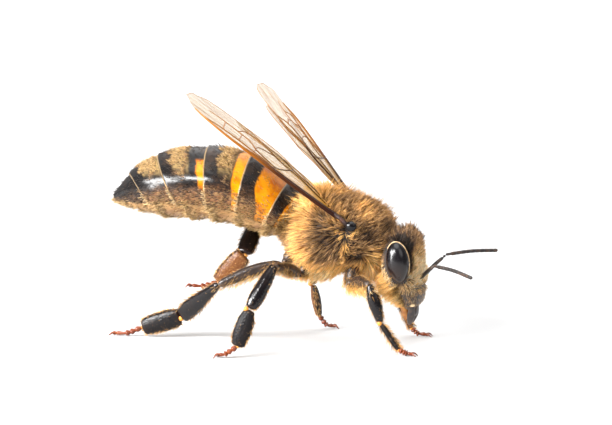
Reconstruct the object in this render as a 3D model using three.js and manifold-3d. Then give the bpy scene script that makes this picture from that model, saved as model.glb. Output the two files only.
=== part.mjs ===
// A worker honey bee, standing with its wings raised and its left hind foot lifted.
// Millimetres. +X is forward, +Y is the bee's left and +Z is up, and the floor is at z = 0.
// Every outline reaches the tips of the coat, so the bare body lies inside these solids.

import * as THREE from "three";
import { mergeVertices } from "three/addons/utils/BufferGeometryUtils.js";
import Module from "manifold-3d";

const wasm = await Module();
wasm.setup();

// ---------------------------------------------------------------- driving sizes

const GAP = 0.04; // the thin cut between two neighbouring pieces
const THIN = 0.25; // half of the least thickness of a leg, feeler or wing
const END_REACH = 0.7; // how far a limb's rounded end goes past its joint, in half widths
const END_CLOSE = 0.55; // how much narrower than the limb its end face is
const FAR = 40; // longer than the whole bee, for cutting blocks

const RIGHT = -1;
const LEFT = 1;
const UPWARD = new THREE.Vector3(0, 0, 1);

// Stations of the thorax from its neck to its waist:
// place along X, height of the middle, half width, reach above and reach below the middle.
const THORAX = [
  [2.45, 4.4, 0.55, 0.5, 0.55],
  [2.15, 4.42, 1.25, 1.15, 1.15],
  [1.55, 4.5, 1.75, 1.58, 1.5],
  [0.65, 4.58, 2.12, 1.86, 1.7],
  [-0.35, 4.55, 2.2, 2.22, 2.1],
  [-1.15, 4.62, 1.9, 1.85, 1.7],
  [-1.7, 4.7, 1.4, 1.2, 1.15],
  [-2.0, 4.72, 0.65, 0.5, 0.55],
];

// Stations of the abdomen from its waist to its tip, one at each joint between two rings.
const ABDOMEN = [
  [-1.4, 4.7, 0.85, 0.7, 0.55],
  [-2.2, 5.35, 1.75, 1.12, 1.2],
  [-3.55, 6.13, 2.02, 1.52, 1.5],
  [-5.15, 6.47, 2.02, 1.58, 1.56],
  [-6.8, 6.38, 1.78, 1.46, 1.42],
  [-8.2, 6.1, 1.15, 1.02, 1.0],
  [-9.42, 5.72, 0.12, 0.12, 0.12],
];

// Stations of the head from the lip to the crown:
// height, place of the middle along X, half width, reach forward and reach back.
const HEAD = [
  [1.45, 3.25, 0.55, 0.28, 0.3],
  [1.75, 3.2, 0.85, 0.45, 0.52],
  [2.25, 3.15, 1.2, 0.62, 0.85],
  [2.9, 3.05, 1.55, 0.8, 1.0],
  [3.65, 3.0, 1.72, 0.88, 0.95],
  [4.3, 2.98, 1.68, 0.85, 0.8],
  [4.75, 2.95, 1.35, 0.7, 0.65],
  [5.05, 2.92, 0.75, 0.38, 0.35],
];

const EYE = { x: 2.93, y: 1.44, z: 3.68, depth: 0.53, bulge: 0.47, height: 0.92, lean: 7 };
const MANDIBLE = { root: [3.34, 0.5, 1.78], tip: [3.2, 0.28, 0.94], wide: 0.25 };
const TONGUE = { root: [2.8, 0, 2.1], tip: [2.98, 0, 1.08], wide: 0.27 };
const TEGULA = { x: 1.08, y: 1.86, z: 5.16, long: 0.27, bulge: 0.26, tall: 0.23 };

// Feelers: socket in the face, elbow and tip.
const FEELERS = {
  right: { socket: [3.55, -0.28, 2.76], elbow: [4.4, -1.21, 3.56], tip: [6.31, -2.95, 3.4] },
  left: { socket: [3.55, 0.28, 2.76], elbow: [4.54, 0.54, 3.77], tip: [6.36, 2.29, 3.74] },
};

// Legs: the way that the flat of the leg faces, then the joints from the hip, which is
// inside the thorax, down to the claws.
const LEGS = {
  right_front: {
    face: [0, RIGHT, 0],
    kind: "front",
    joints: {
      hip: [0.9, -0.45, 3.5],
      trochanter: [0.85, -0.95, 2.68],
      knee: [1.94, -2.2, 2.82],
      ankle: [2.42, -2.3, 1.31],
      heel: [3.18, -2.3, 0.26],
      ball: [3.5, -2.32, 0.16],
      toe: [3.9, -2.34, 0.16],
    },
  },
  right_middle: {
    face: [0, RIGHT, 0],
    kind: "middle",
    joints: {
      hip: [-0.75, -0.6, 3.6],
      trochanter: [-1.15, -1.1, 3.0],
      knee: [-1.78, -3.39, 3.65],
      ankle: [-2.57, -4.18, 2.0],
      heel: [-3.08, -4.3, 0.5],
      ball: [-3.55, -4.38, 0.2],
      toe: [-4.02, -4.46, 0.16],
    },
  },
  right_hind: {
    face: [0, RIGHT, 0],
    kind: "hind",
    joints: {
      hip: [-1.35, -0.5, 4.1],
      trochanter: [-1.85, -1.0, 3.5],
      knee: [-4.47, -1.96, 2.56],
      ankle: [-6.42, -0.46, 0.95],
      heel: [-8.1, -0.34, 0.42],
      ball: [-8.75, -0.3, 0.17],
      toe: [-9.5, -0.25, 0.16],
    },
  },
  left_front: {
    face: [0, LEFT, 0],
    kind: "front",
    joints: {
      hip: [0.9, 0.45, 3.5],
      trochanter: [0.85, 0.95, 2.68],
      knee: [1.8, 2.2, 2.85],
      ankle: [2.25, 2.3, 1.35],
      heel: [2.75, 2.3, 0.36],
      ball: [3.02, 2.32, 0.16],
      toe: [3.58, 2.34, 0.16],
    },
  },
  left_middle: {
    face: [0.95, 0.3, 0],
    kind: "middle",
    joints: {
      hip: [-0.75, 0.6, 3.6],
      trochanter: [-1.15, 1.1, 3.0],
      knee: [-1.5, 2.9, 3.8],
      ankle: [-1.6, 3.05, 1.9],
      heel: [-1.4, 3.2, 0.6],
      ball: [-1.1, 3.3, 0.2],
      toe: [-0.63, 3.45, 0.16],
    },
  },
  left_hind: {
    face: [0, LEFT, 0],
    kind: "hind",
    joints: {
      hip: [-1.35, 0.5, 4.1],
      trochanter: [-1.85, 1.0, 3.5],
      knee: [-3.67, 2.6, 5.15],
      ankle: [-4.02, 0.75, 3.45],
      heel: [-5.17, 0.95, 2.2],
      ball: [-5.85, 0.95, 2.02],
      toe: [-6.54, 0.85, 2.05],
    },
  },
};

// Half width across the flat of each length of a leg, and how it swells and narrows
// from its upper to its lower end. Half thickness is never less than THIN.
const LEG_SIZES = {
  front: {
    femur: { wide: 0.4, thick: 0.27, swell: [0.8, 1, 0.85, 0.65] },
    tibia: { wide: 0.27, thick: 0.25, swell: [0.8, 1, 1, 0.9] },
    basitarsus: { wide: 0.25, thick: 0.25, swell: [0.9, 1, 1, 0.9] },
  },
  middle: {
    femur: { wide: 0.28, thick: 0.27, swell: [0.8, 1, 0.95, 0.9] },
    tibia: { wide: 0.31, thick: 0.25, swell: [0.6, 0.85, 1, 0.95] },
    basitarsus: { wide: 0.39, thick: 0.25, swell: [0.6, 1, 0.95, 0.6] },
  },
  hind: {
    femur: { wide: 0.3, thick: 0.26, swell: [0.8, 1, 0.9, 0.7] },
    tibia: { wide: 0.42, thick: 0.25, swell: [0.5, 0.75, 0.95, 1] },
    basitarsus: { wide: 0.43, thick: 0.26, swell: [0.85, 1, 1, 0.85] },
  },
};
const COXA = { wide: 0.33, thick: 0.3, swell: [0.9, 1, 1, 0.85] };

// Wings: root on the thorax, direction of the front edge, and the way from there
// to the back edge.
const WINGS = {
  right: { root: [0.7, -1.62, 5.3], along: [-0.74, -0.285, 0.61], across: [-0.22, 0.96, 0.18] },
  left: { root: [0.7, 1.62, 5.3], along: [-0.551, 0.695, 0.462], across: [-0.453, -0.714, 0.533] },
};

// Outlines in the plane of the wing: distance along the front edge, and back from it.
const FOREWING = [
  [0.15, 0.05],
  [2.7, -0.12],
  [5.6, -0.04],
  [7.3, 0.26],
  [8.16, 0.98],
  [7.95, 1.65],
  [7.1, 2.64],
  [5.8, 2.88],
  [4.9, 2.72],
  [2.5, 1.55],
  [1.05, 0.92],
  [0.3, 0.55],
];
const HINDWING = [
  [0.5, 0.4],
  [2.5, 1.25],
  [4.6, 2.3],
  [5.5, 2.7],
  [5.55, 2.95],
  [4.7, 3.1],
  [3.5, 2.9],
  [2.5, 2.45],
  [1.5, 1.8],
  [0.75, 1.05],
];
const WING_STEPS = 28;
const WING_THICK = 2 * THIN;
const WING_CUT = 2 * WING_THICK; // the thickness of the copy that cuts one wing from another

const FINE = { around: 22, along: 11 };
const RING = { around: 22, along: 3 };
const LIMB = { around: 8, along: 5 };
const FOOT = { around: 8, along: 6 };
const BALL = { around: 16, along: 10 };
const BEAD = { around: 10, along: 6 };

// ---------------------------------------------------------------- finishes

const FINISH = {
  coat: { color: 0xa9783a, roughness: 0.9, metalness: 0 },
  face: { color: 0x6d5132, roughness: 0.9, metalness: 0 },
  amber: { color: 0xc9771d, roughness: 0.5, metalness: 0 },
  banded: { color: 0x6b4a26, roughness: 0.55, metalness: 0 },
  dark: { color: 0x1c1613, roughness: 0.4, metalness: 0 },
  eye: { color: 0x0b0a0b, roughness: 0.12, metalness: 0 },
  shell: { color: 0x1d1715, roughness: 0.25, metalness: 0 },
  foot: { color: 0x6e2f16, roughness: 0.4, metalness: 0 },
  tongue: { color: 0xb8701f, roughness: 0.4, metalness: 0 },
  wing: { color: 0xd8bf95, roughness: 0.3, metalness: 0 },
};

// ---------------------------------------------------------------- solids

function solidOf(geometry) {
  const bare = geometry.index ? geometry.toNonIndexed() : geometry.clone();
  bare.deleteAttribute("normal");
  bare.deleteAttribute("uv");
  const closed = mergeVertices(bare);
  const mesh = new wasm.Mesh({
    numProp: 3,
    vertProperties: closed.attributes.position.array,
    triVerts: Uint32Array.from(closed.index.array),
  });
  return new wasm.Manifold(mesh);
}

function geometryOf(solid) {
  const mesh = solid.getMesh();
  const geometry = new THREE.BufferGeometry();
  geometry.setAttribute("position", new THREE.BufferAttribute(mesh.vertProperties, 3));
  geometry.setIndex(new THREE.BufferAttribute(mesh.triVerts, 1));
  geometry.computeVertexNormals();
  return geometry;
}

// A copy that stands off by GAP all round, to cut a neighbour with.
function swollen(geometry) {
  const grown = geometry.clone();
  grown.computeBoundingBox();
  const middle = grown.boundingBox.getCenter(new THREE.Vector3());
  const size = grown.boundingBox.getSize(new THREE.Vector3());
  grown.translate(-middle.x, -middle.y, -middle.z);
  grown.scale(1 + (2 * GAP) / size.x, 1 + (2 * GAP) / size.y, 1 + (2 * GAP) / size.z);
  grown.translate(middle.x, middle.y, middle.z);
  return grown;
}

// A closed tube with a section that changes along it. sectionAt takes 0 to 1 and gives the
// middle, the two directions across, and the reach to the side, above and below.
function loft(steps, sectionAt) {
  const geometry = new THREE.CylinderGeometry(1, 1, 1, steps.around, steps.along);
  const places = geometry.attributes.position;
  for (let i = 0; i < places.count; i += 1) {
    const unit = new THREE.Vector3().fromBufferAttribute(places, i);
    const section = sectionAt(unit.y + 0.5);
    const rise = unit.z > 0 ? section.above : section.below;
    const placed = section.middle.clone();
    placed.addScaledVector(section.across, unit.x * section.side);
    placed.addScaledVector(section.up, unit.z * rise);
    places.setXYZ(i, placed.x, placed.y, placed.z);
  }
  return geometry;
}

// A smooth body through stations, between two shares of its length. toMiddle turns a
// station's two place values into a point, and its other three are the reaches.
function bodyLength(stations, toMiddle, steps, from = 0, to = 1) {
  const line = new THREE.CatmullRomCurve3(stations.map(toMiddle));
  const reach = new THREE.CatmullRomCurve3(stations.map((s) => new THREE.Vector3(s[2], s[3], s[4])));
  const across = new THREE.Vector3(0, 1, 0);
  return loft(steps, (share) => {
    const t = from + (to - from) * share;
    const reaches = reach.getPoint(t);
    const up = across.clone().cross(line.getTangent(t));
    return { middle: line.getPoint(t), across, up, side: reaches.x, above: reaches.y, below: reaches.z };
  });
}

function lengthwise(station) {
  return new THREE.Vector3(station[0], 0, station[1]);
}

function upright(station) {
  return new THREE.Vector3(station[1], 0, station[0]);
}

function ellipsoid(steps, reaches, lean, middle) {
  const geometry = new THREE.SphereGeometry(1, steps.around, steps.along);
  geometry.rotateX(Math.PI / 2);
  geometry.scale(...reaches);
  geometry.rotateY(THREE.MathUtils.degToRad(-lean));
  geometry.translate(...middle);
  return geometry;
}

// Takes away all that lies past a point in a direction, less half of the thin cut.
function cutPast(solid, point, direction) {
  const block = new THREE.BoxGeometry(FAR, FAR, FAR);
  block.translate(0, 0, FAR / 2 - GAP / 2);
  const turn = new THREE.Quaternion().setFromUnitVectors(new THREE.Vector3(0, 0, 1), direction);
  block.applyQuaternion(turn);
  block.translate(point.x, point.y, point.z);
  return solid.subtract(solidOf(block));
}

function cutFloor(solid) {
  const block = new THREE.BoxGeometry(FAR, FAR, FAR);
  block.translate(0, 0, -FAR / 2);
  return solid.subtract(solidOf(block));
}

// One length of a limb along a smooth line, with rounded ends a little past the line's own.
function limbGeometry(points, size, outward, steps = LIMB) {
  const line = new THREE.CatmullRomCurve3(points);
  const swell = new THREE.SplineCurve(size.swell.map((s, i) => new THREE.Vector2(i, s)));
  return loft(steps, (share) => {
    const inner = (share * steps.along - 1) / (steps.along - 2);
    const t = THREE.MathUtils.clamp(inner, 0, 1);
    const end = Math.trunc(2 * share - 1); // -1 and 1 on the two end faces, and 0 between them
    const beyond = end * END_REACH * size.wide;
    const close = end === 0 ? 1 : END_CLOSE;
    const tangent = line.getTangentAt(t);
    const middle = line.getPointAt(t).addScaledVector(tangent, beyond);
    const across = tangent.clone().cross(outward).normalize();
    const up = across.clone().cross(tangent);
    const side = Math.max(size.wide * swell.getPoint(t).y, THIN) * close;
    const half = Math.max(size.thick, THIN) * close;
    return { middle, across, up, side, above: half, below: half };
  });
}

// ---------------------------------------------------------------- the bee

const bee = new THREE.Group();

function addNode(name, solid, finish) {
  const mesh = new THREE.Mesh(geometryOf(solid), new THREE.MeshStandardMaterial(FINISH[finish]));
  mesh.name = name;
  bee.add(mesh);
}

const thoraxShape = bodyLength(THORAX, lengthwise, FINE);
const headShape = bodyLength(HEAD, upright, FINE);
const thoraxCutter = solidOf(swollen(thoraxShape));
const headCutter = solidOf(swollen(headShape));

let thorax = solidOf(thoraxShape).subtract(headCutter);
let head = solidOf(headShape);

// Abdomen rings, each drawn back by half of the thin cut at both ends.
const abdomenLength = new THREE.CatmullRomCurve3(ABDOMEN.map(lengthwise)).getLength();
const ringCount = ABDOMEN.length - 1;
for (let ring = 0; ring < ringCount; ring += 1) {
  const inset = GAP / 2 / abdomenLength;
  const from = ring / ringCount + inset;
  const to = (ring + 1) / ringCount - inset;
  const shape = bodyLength(ABDOMEN, lengthwise, RING, from, to);
  addNode(`abdomen_${ring + 1}`, solidOf(shape).subtract(thoraxCutter), ring < 2 ? "amber" : "banded");
}

// Eyes, jaws and wing-base plates come in pairs.
for (const [name, side] of [["right", RIGHT], ["left", LEFT]]) {
  const eyeReach = [EYE.depth, EYE.bulge, EYE.height];
  const eyeShape = ellipsoid(BALL, eyeReach, EYE.lean, [EYE.x, side * EYE.y, EYE.z]);
  head = head.subtract(solidOf(swollen(eyeShape)));
  addNode(`eye_${name}`, solidOf(eyeShape), "eye");

  const root = new THREE.Vector3(MANDIBLE.root[0], side * MANDIBLE.root[1], MANDIBLE.root[2]);
  const tip = new THREE.Vector3(MANDIBLE.tip[0], side * MANDIBLE.tip[1], MANDIBLE.tip[2]);
  const jawSize = { wide: MANDIBLE.wide, thick: MANDIBLE.wide, swell: [1, 1, 1, 0.9] };
  const jawShape = limbGeometry([root, tip], jawSize, new THREE.Vector3(0, side, 0));
  addNode(`mandible_${name}`, solidOf(jawShape).subtract(headCutter), "shell");
}

// Folded tongue, behind the jaws and between them.
const tongueLine = [new THREE.Vector3(...TONGUE.root), new THREE.Vector3(...TONGUE.tip)];
const tongueSize = { wide: TONGUE.wide, thick: TONGUE.wide, swell: [1, 1, 1, 0.9] };
let tongue = solidOf(limbGeometry(tongueLine, tongueSize, new THREE.Vector3(1, 0, 0)));
tongue = tongue.subtract(headCutter);
addNode("tongue", tongue, "tongue");

// Feelers: a scape up to the elbow, then the whip.
for (const [name, feeler] of Object.entries(FEELERS)) {
  const socket = new THREE.Vector3(...feeler.socket);
  const elbow = new THREE.Vector3(...feeler.elbow);
  const tip = new THREE.Vector3(...feeler.tip);
  const size = { wide: THIN, thick: THIN, swell: [1, 1] };
  const first = elbow.clone().sub(socket).normalize();
  const second = tip.clone().sub(elbow).normalize();
  const mitre = first.clone().add(second).normalize();
  const scape = solidOf(limbGeometry([socket, elbow], size, UPWARD)).subtract(headCutter);
  const whip = solidOf(limbGeometry([elbow, tip], size, UPWARD));
  addNode(`antenna_${name}_scape`, cutPast(scape, elbow, mitre), "dark");
  addNode(`antenna_${name}_flagellum`, cutPast(whip, elbow, mitre.clone().negate()), "dark");
}

// Legs: the coxa sits in the thorax, and each joint is parted by a thin mitre cut.
for (const [name, leg] of Object.entries(LEGS)) {
  const at = {};
  for (const [joint, place] of Object.entries(leg.joints)) {
    at[joint] = new THREE.Vector3(...place);
  }
  const sizes = LEG_SIZES[leg.kind];
  const outward = new THREE.Vector3(...leg.face);
  const toes = { wide: THIN, thick: THIN, swell: [1, 1] };
  const lengths = [
    { part: "coxa", line: [at.hip, at.trochanter], size: COXA, finish: "dark", steps: LIMB },
    { part: "femur", line: [at.trochanter, at.knee], size: sizes.femur, finish: "dark", steps: LIMB },
    { part: "tibia", line: [at.knee, at.ankle], size: sizes.tibia, finish: "shell", steps: LIMB },
    { part: "basitarsus", line: [at.ankle, at.heel], size: sizes.basitarsus, finish: "shell", steps: LIMB },
    { part: "tarsus", line: [at.heel, at.ball, at.toe], size: toes, finish: "foot", steps: FOOT },
  ];
  const headings = lengths.map(({ line }) => line[1].clone().sub(line[0]).normalize());
  lengths.forEach(({ part, line, size, finish, steps }, i) => {
    let solid = solidOf(limbGeometry(line, size, part === "tarsus" ? UPWARD : outward, steps));
    if (i > 0) {
      const mitre = headings[i - 1].clone().add(headings[i]).normalize();
      solid = cutPast(solid, line[0], mitre.negate());
    }
    if (i < lengths.length - 1) {
      const mitre = headings[i].clone().add(headings[i + 1]).normalize();
      solid = cutPast(solid, line[line.length - 1], mitre);
    }
    if (part === "coxa") {
      thorax = thorax.subtract(solidOf(swollen(geometryOf(solid))));
    }
    if (part === "femur") {
      solid = solid.subtract(thoraxCutter);
    }
    addNode(`leg_${name}_${part}`, cutFloor(solid), finish);
  });
}

// Wings: flat blades that start at the thorax's outline. The hind wing shows behind the fore one.
function outlineOf(points) {
  const line = new THREE.SplineCurve([...points, points[0]].map((p) => new THREE.Vector2(...p)));
  return line.getPoints(WING_STEPS).slice(0, -1);
}

function bladeSolid(points, wing, thick = WING_THICK, back = 0) {
  const along = new THREE.Vector3(...wing.along).normalize();
  const across = new THREE.Vector3(...wing.across).projectOnPlane(along).normalize();
  const facing = along.clone().cross(across);
  const blade = new THREE.ExtrudeGeometry(new THREE.Shape(outlineOf(points)), {
    depth: thick,
    bevelEnabled: false,
  });
  blade.translate(0, back, -thick / 2);
  blade.applyMatrix4(new THREE.Matrix4().makeBasis(along, across, facing));
  blade.translate(...wing.root);
  return solidOf(blade);
}

for (const [name, side] of [["right", RIGHT], ["left", LEFT]]) {
  const reach = [TEGULA.long, TEGULA.bulge, TEGULA.tall];
  const plateShape = ellipsoid(BEAD, reach, 0, [TEGULA.x, side * TEGULA.y, TEGULA.z]);
  const plateCutter = solidOf(swollen(plateShape));
  thorax = thorax.subtract(plateCutter);
  addNode(`tegula_${name}`, solidOf(plateShape), "shell");
  const wing = WINGS[name];
  const forewing = bladeSolid(FOREWING, wing);
  const foreCutter = bladeSolid(FOREWING, wing, WING_CUT).add(bladeSolid(FOREWING, wing, WING_CUT, GAP));
  const hindwing = bladeSolid(HINDWING, wing).subtract(foreCutter);
  for (const [blade, solid] of Object.entries({ forewing, hindwing })) {
    addNode(`${blade}_${name}`, solid.subtract(thoraxCutter).subtract(plateCutter), "wing");
  }
}

addNode("thorax", thorax, "coat");
addNode("head", head, "face");

// The origin is on the floor under the middle of the whole bee.
const whole = new THREE.Box3().setFromObject(bee);
const middle = whole.getCenter(new THREE.Vector3());
bee.position.set(-middle.x, -middle.y, 0);

export default bee;
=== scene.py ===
"""A worker honey bee, life size, standing with its wings raised and its left hind foot lifted.

Sizes are millimetres in the bee's own frame: +X is forward, +Y its left, +Z up, and the floor
is z = 0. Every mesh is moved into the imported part's frame, in metres, as it is made.
"""

import math

import bpy
import numpy as np
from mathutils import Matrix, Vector, kdtree


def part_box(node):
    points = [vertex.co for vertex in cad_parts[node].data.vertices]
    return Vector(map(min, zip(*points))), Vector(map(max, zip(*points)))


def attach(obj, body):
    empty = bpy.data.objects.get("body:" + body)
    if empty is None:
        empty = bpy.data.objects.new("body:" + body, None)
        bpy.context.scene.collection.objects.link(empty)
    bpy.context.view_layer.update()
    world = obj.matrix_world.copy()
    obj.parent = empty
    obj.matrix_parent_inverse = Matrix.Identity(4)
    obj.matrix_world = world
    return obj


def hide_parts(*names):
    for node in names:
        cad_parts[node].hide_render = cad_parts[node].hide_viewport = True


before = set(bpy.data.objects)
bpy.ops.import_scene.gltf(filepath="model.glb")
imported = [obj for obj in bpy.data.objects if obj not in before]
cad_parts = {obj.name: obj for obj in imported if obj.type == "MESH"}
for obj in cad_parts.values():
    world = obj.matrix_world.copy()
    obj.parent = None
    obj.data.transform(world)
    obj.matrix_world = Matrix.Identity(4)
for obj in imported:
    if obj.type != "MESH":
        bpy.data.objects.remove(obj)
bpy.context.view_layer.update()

MM = 0.001
RIGHT, LEFT = -1, 1
SIDES = {"right": RIGHT, "left": LEFT}

# ---------------------------------------------------------------- driving sizes

# The bare body, inside its coat. Thorax from neck to waist:
# place along X, height of the middle, half width, reach above and reach below.
THORAX = [
    [2.32, 4.34, 0.3, 0.3, 0.3],
    [2.1, 4.38, 0.8, 0.78, 0.8],
    [1.55, 4.46, 1.28, 1.18, 1.1],
    [0.65, 4.55, 1.62, 1.46, 1.3],
    [-0.35, 4.55, 1.7, 1.76, 1.62],
    [-1.15, 4.62, 1.42, 1.46, 1.25],
    [-1.7, 4.72, 0.95, 0.8, 0.75],
    [-2.05, 4.85, 0.4, 0.35, 0.35],
]

# Abdomen from waist to tip, with a station at each joint between two rings.
ABDOMEN = [
    [-1.5, 4.75, 0.6, 0.5, 0.4],
    [-2.2, 5.35, 1.55, 0.98, 1.05],
    [-3.55, 6.13, 1.87, 1.42, 1.38],
    [-5.15, 6.47, 1.9, 1.5, 1.46],
    [-6.8, 6.38, 1.66, 1.38, 1.33],
    [-8.2, 6.1, 1.05, 0.94, 0.92],
    [-9.36, 5.73, 0.1, 0.1, 0.1],
]

# Head from lip to crown: place along X, height, half width, reach forward and reach back.
HEAD = [
    [3.32, 1.56, 0.34, 0.16, 0.18],
    [3.25, 1.75, 0.6, 0.36, 0.34],
    [3.16, 2.25, 1.0, 0.52, 0.62],
    [3.05, 2.9, 1.36, 0.54, 0.72],
    [3.0, 3.65, 1.56, 0.52, 0.64],
    [2.97, 4.25, 1.46, 0.48, 0.48],
    [2.95, 4.54, 1.08, 0.36, 0.36],
    [2.93, 4.68, 0.5, 0.18, 0.18],
]

TEGULA = (1.08, 1.86, 5.16)

# ---------------------------------------------------------------- place in the part's frame

low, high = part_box("tegula_right")
SHIFT = (np.array(low) + np.array(high)) / (2 * MM) - np.array([TEGULA[0], -TEGULA[1], TEGULA[2]])
SHIFT[2] = 0.0


def to_part(points):
    """Millimetres in the bee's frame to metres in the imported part's frame."""
    return (np.asarray(points, float) + SHIFT) * MM


# ---------------------------------------------------------------- camera, floor and light

AIM = (-1.158, -0.267, 5.4326)
CAMERA_TURN, CAMERA_RISE, CAMERA_AWAY = 13, 8.5, 200.0
LENS, SENSOR = 287.0, 36.0
FLOOR_SIDE = 160.0
LIGHT_AIM = (-1.5, 0, 4.5)
SKY_WAY = (-0.22, 0.97, 0.1)

# Degrees round from the bee's right side and above the floor, then distance, size and power.
SOFTBOXES = {
    "overhead": (10, 80, 260, (260, 260), 0.66),
    "key_window": (-24, 34, 230, (80, 30), 0.46),
    "side_window": (-50, 23, 230, (150, 60), 1.15),
    "side_strip": (-50, 7, 230, (18, 90), 0.32),
    "front_fill": (60, 35, 260, (160, 160), 0.14),
    "back_glow": (175, 35, 260, (300, 200), 0.5),
}


def add_object(name, data):
    made = bpy.data.objects.new(name, data)
    bpy.context.scene.collection.objects.link(made)
    return made


def stand_off(thing, target, turn, rise, away):
    """Puts a camera or light some millimetres away from its target, and turns it there. turn is
    degrees round from the bee's right side, and rise is degrees above the floor."""
    turn, rise = math.radians(turn), math.radians(rise)
    back = Vector((math.sin(turn) * math.cos(rise), -math.cos(turn) * math.cos(rise), math.sin(rise)))
    thing.location = Vector(to_part(target)) + back * (away * MM)
    thing.rotation_euler = (-back).to_track_quat("-Z", "Y").to_euler()


def add_camera():
    data = bpy.data.cameras.new("camera")
    data.lens, data.sensor_width = LENS, SENSOR
    data.clip_start, data.clip_end = 0.01, 10.0
    camera = add_object("camera", data)
    stand_off(camera, AIM, CAMERA_TURN, CAMERA_RISE, CAMERA_AWAY)
    bpy.context.scene.camera = camera


def add_softbox(name, turn, rise, away, size, power):
    """An area light aimed at the bee."""
    data = bpy.data.lights.new(name, "AREA")
    data.shape = "ELLIPSE"
    data.size, data.size_y = size[0] * MM, size[1] * MM
    data.energy = power
    light = add_object(name, data)
    stand_off(light, LIGHT_AIM, turn, rise, away)
    light.visible_camera = False


def add_floor():
    side = FLOOR_SIDE * MM
    mesh = bpy.data.meshes.new("floor")
    mesh.from_pydata([(-side, -side, 0), (side, -side, 0), (side, side, 0), (-side, side, 0)], [],
                     [(0, 1, 2, 3)])
    floor = add_object("floor", mesh)
    paint = Paint("studio_floor")
    # Painted light: the floor is grey near the bee, where the lamps light it strongly, and grows white
    # towards its edge, where they light it less, so that it reads evenly white.
    far = paint.node("ShaderNodeVectorMath", {"operation": "LENGTH"}, {0: paint.place()}, "Value")
    white = paint.mix(step(far, 40 * MM, side), (0.52, 0.52, 0.52), (1.0, 1.0, 1.0))
    floor.data.materials.append(paint.surface(Base_Color=white, Roughness=0.7))


def add_world():
    """White behind everything, with a dimmer light on the bee that is brighter from one side."""
    world = bpy.data.worlds.new("studio")
    bpy.context.scene.world = world
    sky = Paint(world=world)
    look = sky.node("ShaderNodeTexCoord", outlet="Generated")
    bright_way = sky.node("ShaderNodeVectorMath", {"operation": "DOT_PRODUCT"}, {0: look, 1: SKY_WAY},
                          outlet="Value")
    seen = sky.node("ShaderNodeLightPath", outlet="Is Camera Ray")
    dim = 0.16 + step(bright_way, -0.3, 0.9) * 0.4
    back = sky.raw("ShaderNodeBackground", {}, {"Color": (1, 1, 1, 1),
                                                "Strength": dim * (1 - seen) + seen * 1.02})
    out = sky.raw("ShaderNodeOutputWorld", {}, {})
    sky.tree.links.new(back.outputs[0], out.inputs["Surface"])


def add_studio():
    add_floor()
    for name, settings in SOFTBOXES.items():
        add_softbox(name, *settings)
    add_world()


# ---------------------------------------------------------------- sums on sockets

class Socket:
    """An output of a node, so that shader maths reads as plain Python."""

    def __init__(self, paint, outlet):
        self.paint = paint
        self.outlet = outlet

    def sum(self, operation, *terms):
        return self.paint.node("ShaderNodeMath", {"operation": operation}, dict(enumerate(terms)))

    def __add__(self, other):
        return self.sum("ADD", self, other)

    def __sub__(self, other):
        return self.sum("SUBTRACT", self, other)

    def __rsub__(self, other):
        return self.sum("SUBTRACT", other, self)

    def __mul__(self, other):
        return self.sum("MULTIPLY", self, other)

    def __abs__(self):
        return self.sum("ABSOLUTE", self)

    __radd__ = __add__
    __rmul__ = __mul__


class Paint:
    """Builds one material's nodes, or the world's."""

    def __init__(self, name="", world=None):
        self.owner = world or bpy.data.materials.new(name)
        self.owner.use_nodes = True
        self.tree = self.owner.node_tree
        self.tree.nodes.clear()

    def raw(self, kind, settings, inputs):
        node = self.tree.nodes.new(kind)
        for key, value in settings.items():
            if key == "stops":
                ramp = node.color_ramp
                while len(ramp.elements) < len(value):
                    ramp.elements.new(0.5)
                for element, (place, colour) in zip(ramp.elements, value):
                    element.position, element.color = place, (*colour, 1)
            else:
                setattr(node, key, value)
        for key, value in inputs.items():
            if isinstance(value, Socket):
                self.tree.links.new(value.outlet, node.inputs[key])
            else:
                node.inputs[key].default_value = value
        return node

    def node(self, kind, settings=None, inputs=None, outlet=0):
        return Socket(self, self.raw(kind, settings or {}, inputs or {}).outputs[outlet])

    def place(self):
        return self.node("ShaderNodeTexCoord", outlet="Object")

    def axis(self, letter, vector=None):
        return self.node("ShaderNodeSeparateXYZ", None, {0: vector or self.place()}, letter)

    def attribute(self, name):
        return self.node("ShaderNodeAttribute", {"attribute_name": name}, outlet="Fac")

    def lay(self, letter):
        """A coordinate of the piece's own map: X is the share round it, and Y the share along it."""
        return self.axis(letter, self.node("ShaderNodeUVMap", {"uv_map": "lay"}))

    def noise(self, per_mm, detail=2.0, stretch=(1, 1, 1)):
        """Smooth noise with about that many blobs to the millimetre."""
        scale = tuple(k * per_mm / MM for k in stretch)
        turned = self.node("ShaderNodeMapping", None, {"Vector": self.place(), "Scale": scale})
        return self.node("ShaderNodeTexNoise", None, {"Vector": turned, "Scale": 1.0, "Detail": detail})

    def pits(self, per_mm):
        """Distance from the nearest of many scattered points, with about that many to the millimetre."""
        return self.node("ShaderNodeTexVoronoi", None, {"Vector": self.place(), "Scale": per_mm / MM})

    def mix(self, share, first, second):
        """A colour from the first at share 0 to the second at share 1."""
        sockets = {0: share, 6: as_colour(first), 7: as_colour(second)}
        return self.node("ShaderNodeMix", {"data_type": "RGBA"}, sockets, 2)

    def shade(self, colour, strength):
        """A colour made lighter or darker by a number."""
        grey = self.node("ShaderNodeCombineColor", None, {0: strength, 1: strength, 2: strength})
        return self.node("ShaderNodeMix", {"data_type": "RGBA", "blend_type": "MULTIPLY"},
                         {0: 1.0, 6: as_colour(colour), 7: grey}, 2)

    def bump(self, height, depth, strength):
        """Small relief of that many millimetres."""
        sockets = {"Height": height, "Distance": depth * MM, "Strength": strength}
        return self.node("ShaderNodeBump", None, sockets)

    def surface(self, **sockets):
        """The finished material. Base_Color stands for the socket Base Color, and so on."""
        named = {key.replace("_", " "): value for key, value in sockets.items()}
        shader = self.raw("ShaderNodeBsdfPrincipled", {}, named)
        out = self.raw("ShaderNodeOutputMaterial", {}, {})
        self.tree.links.new(shader.outputs[0], out.inputs["Surface"])
        return self.owner


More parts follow.
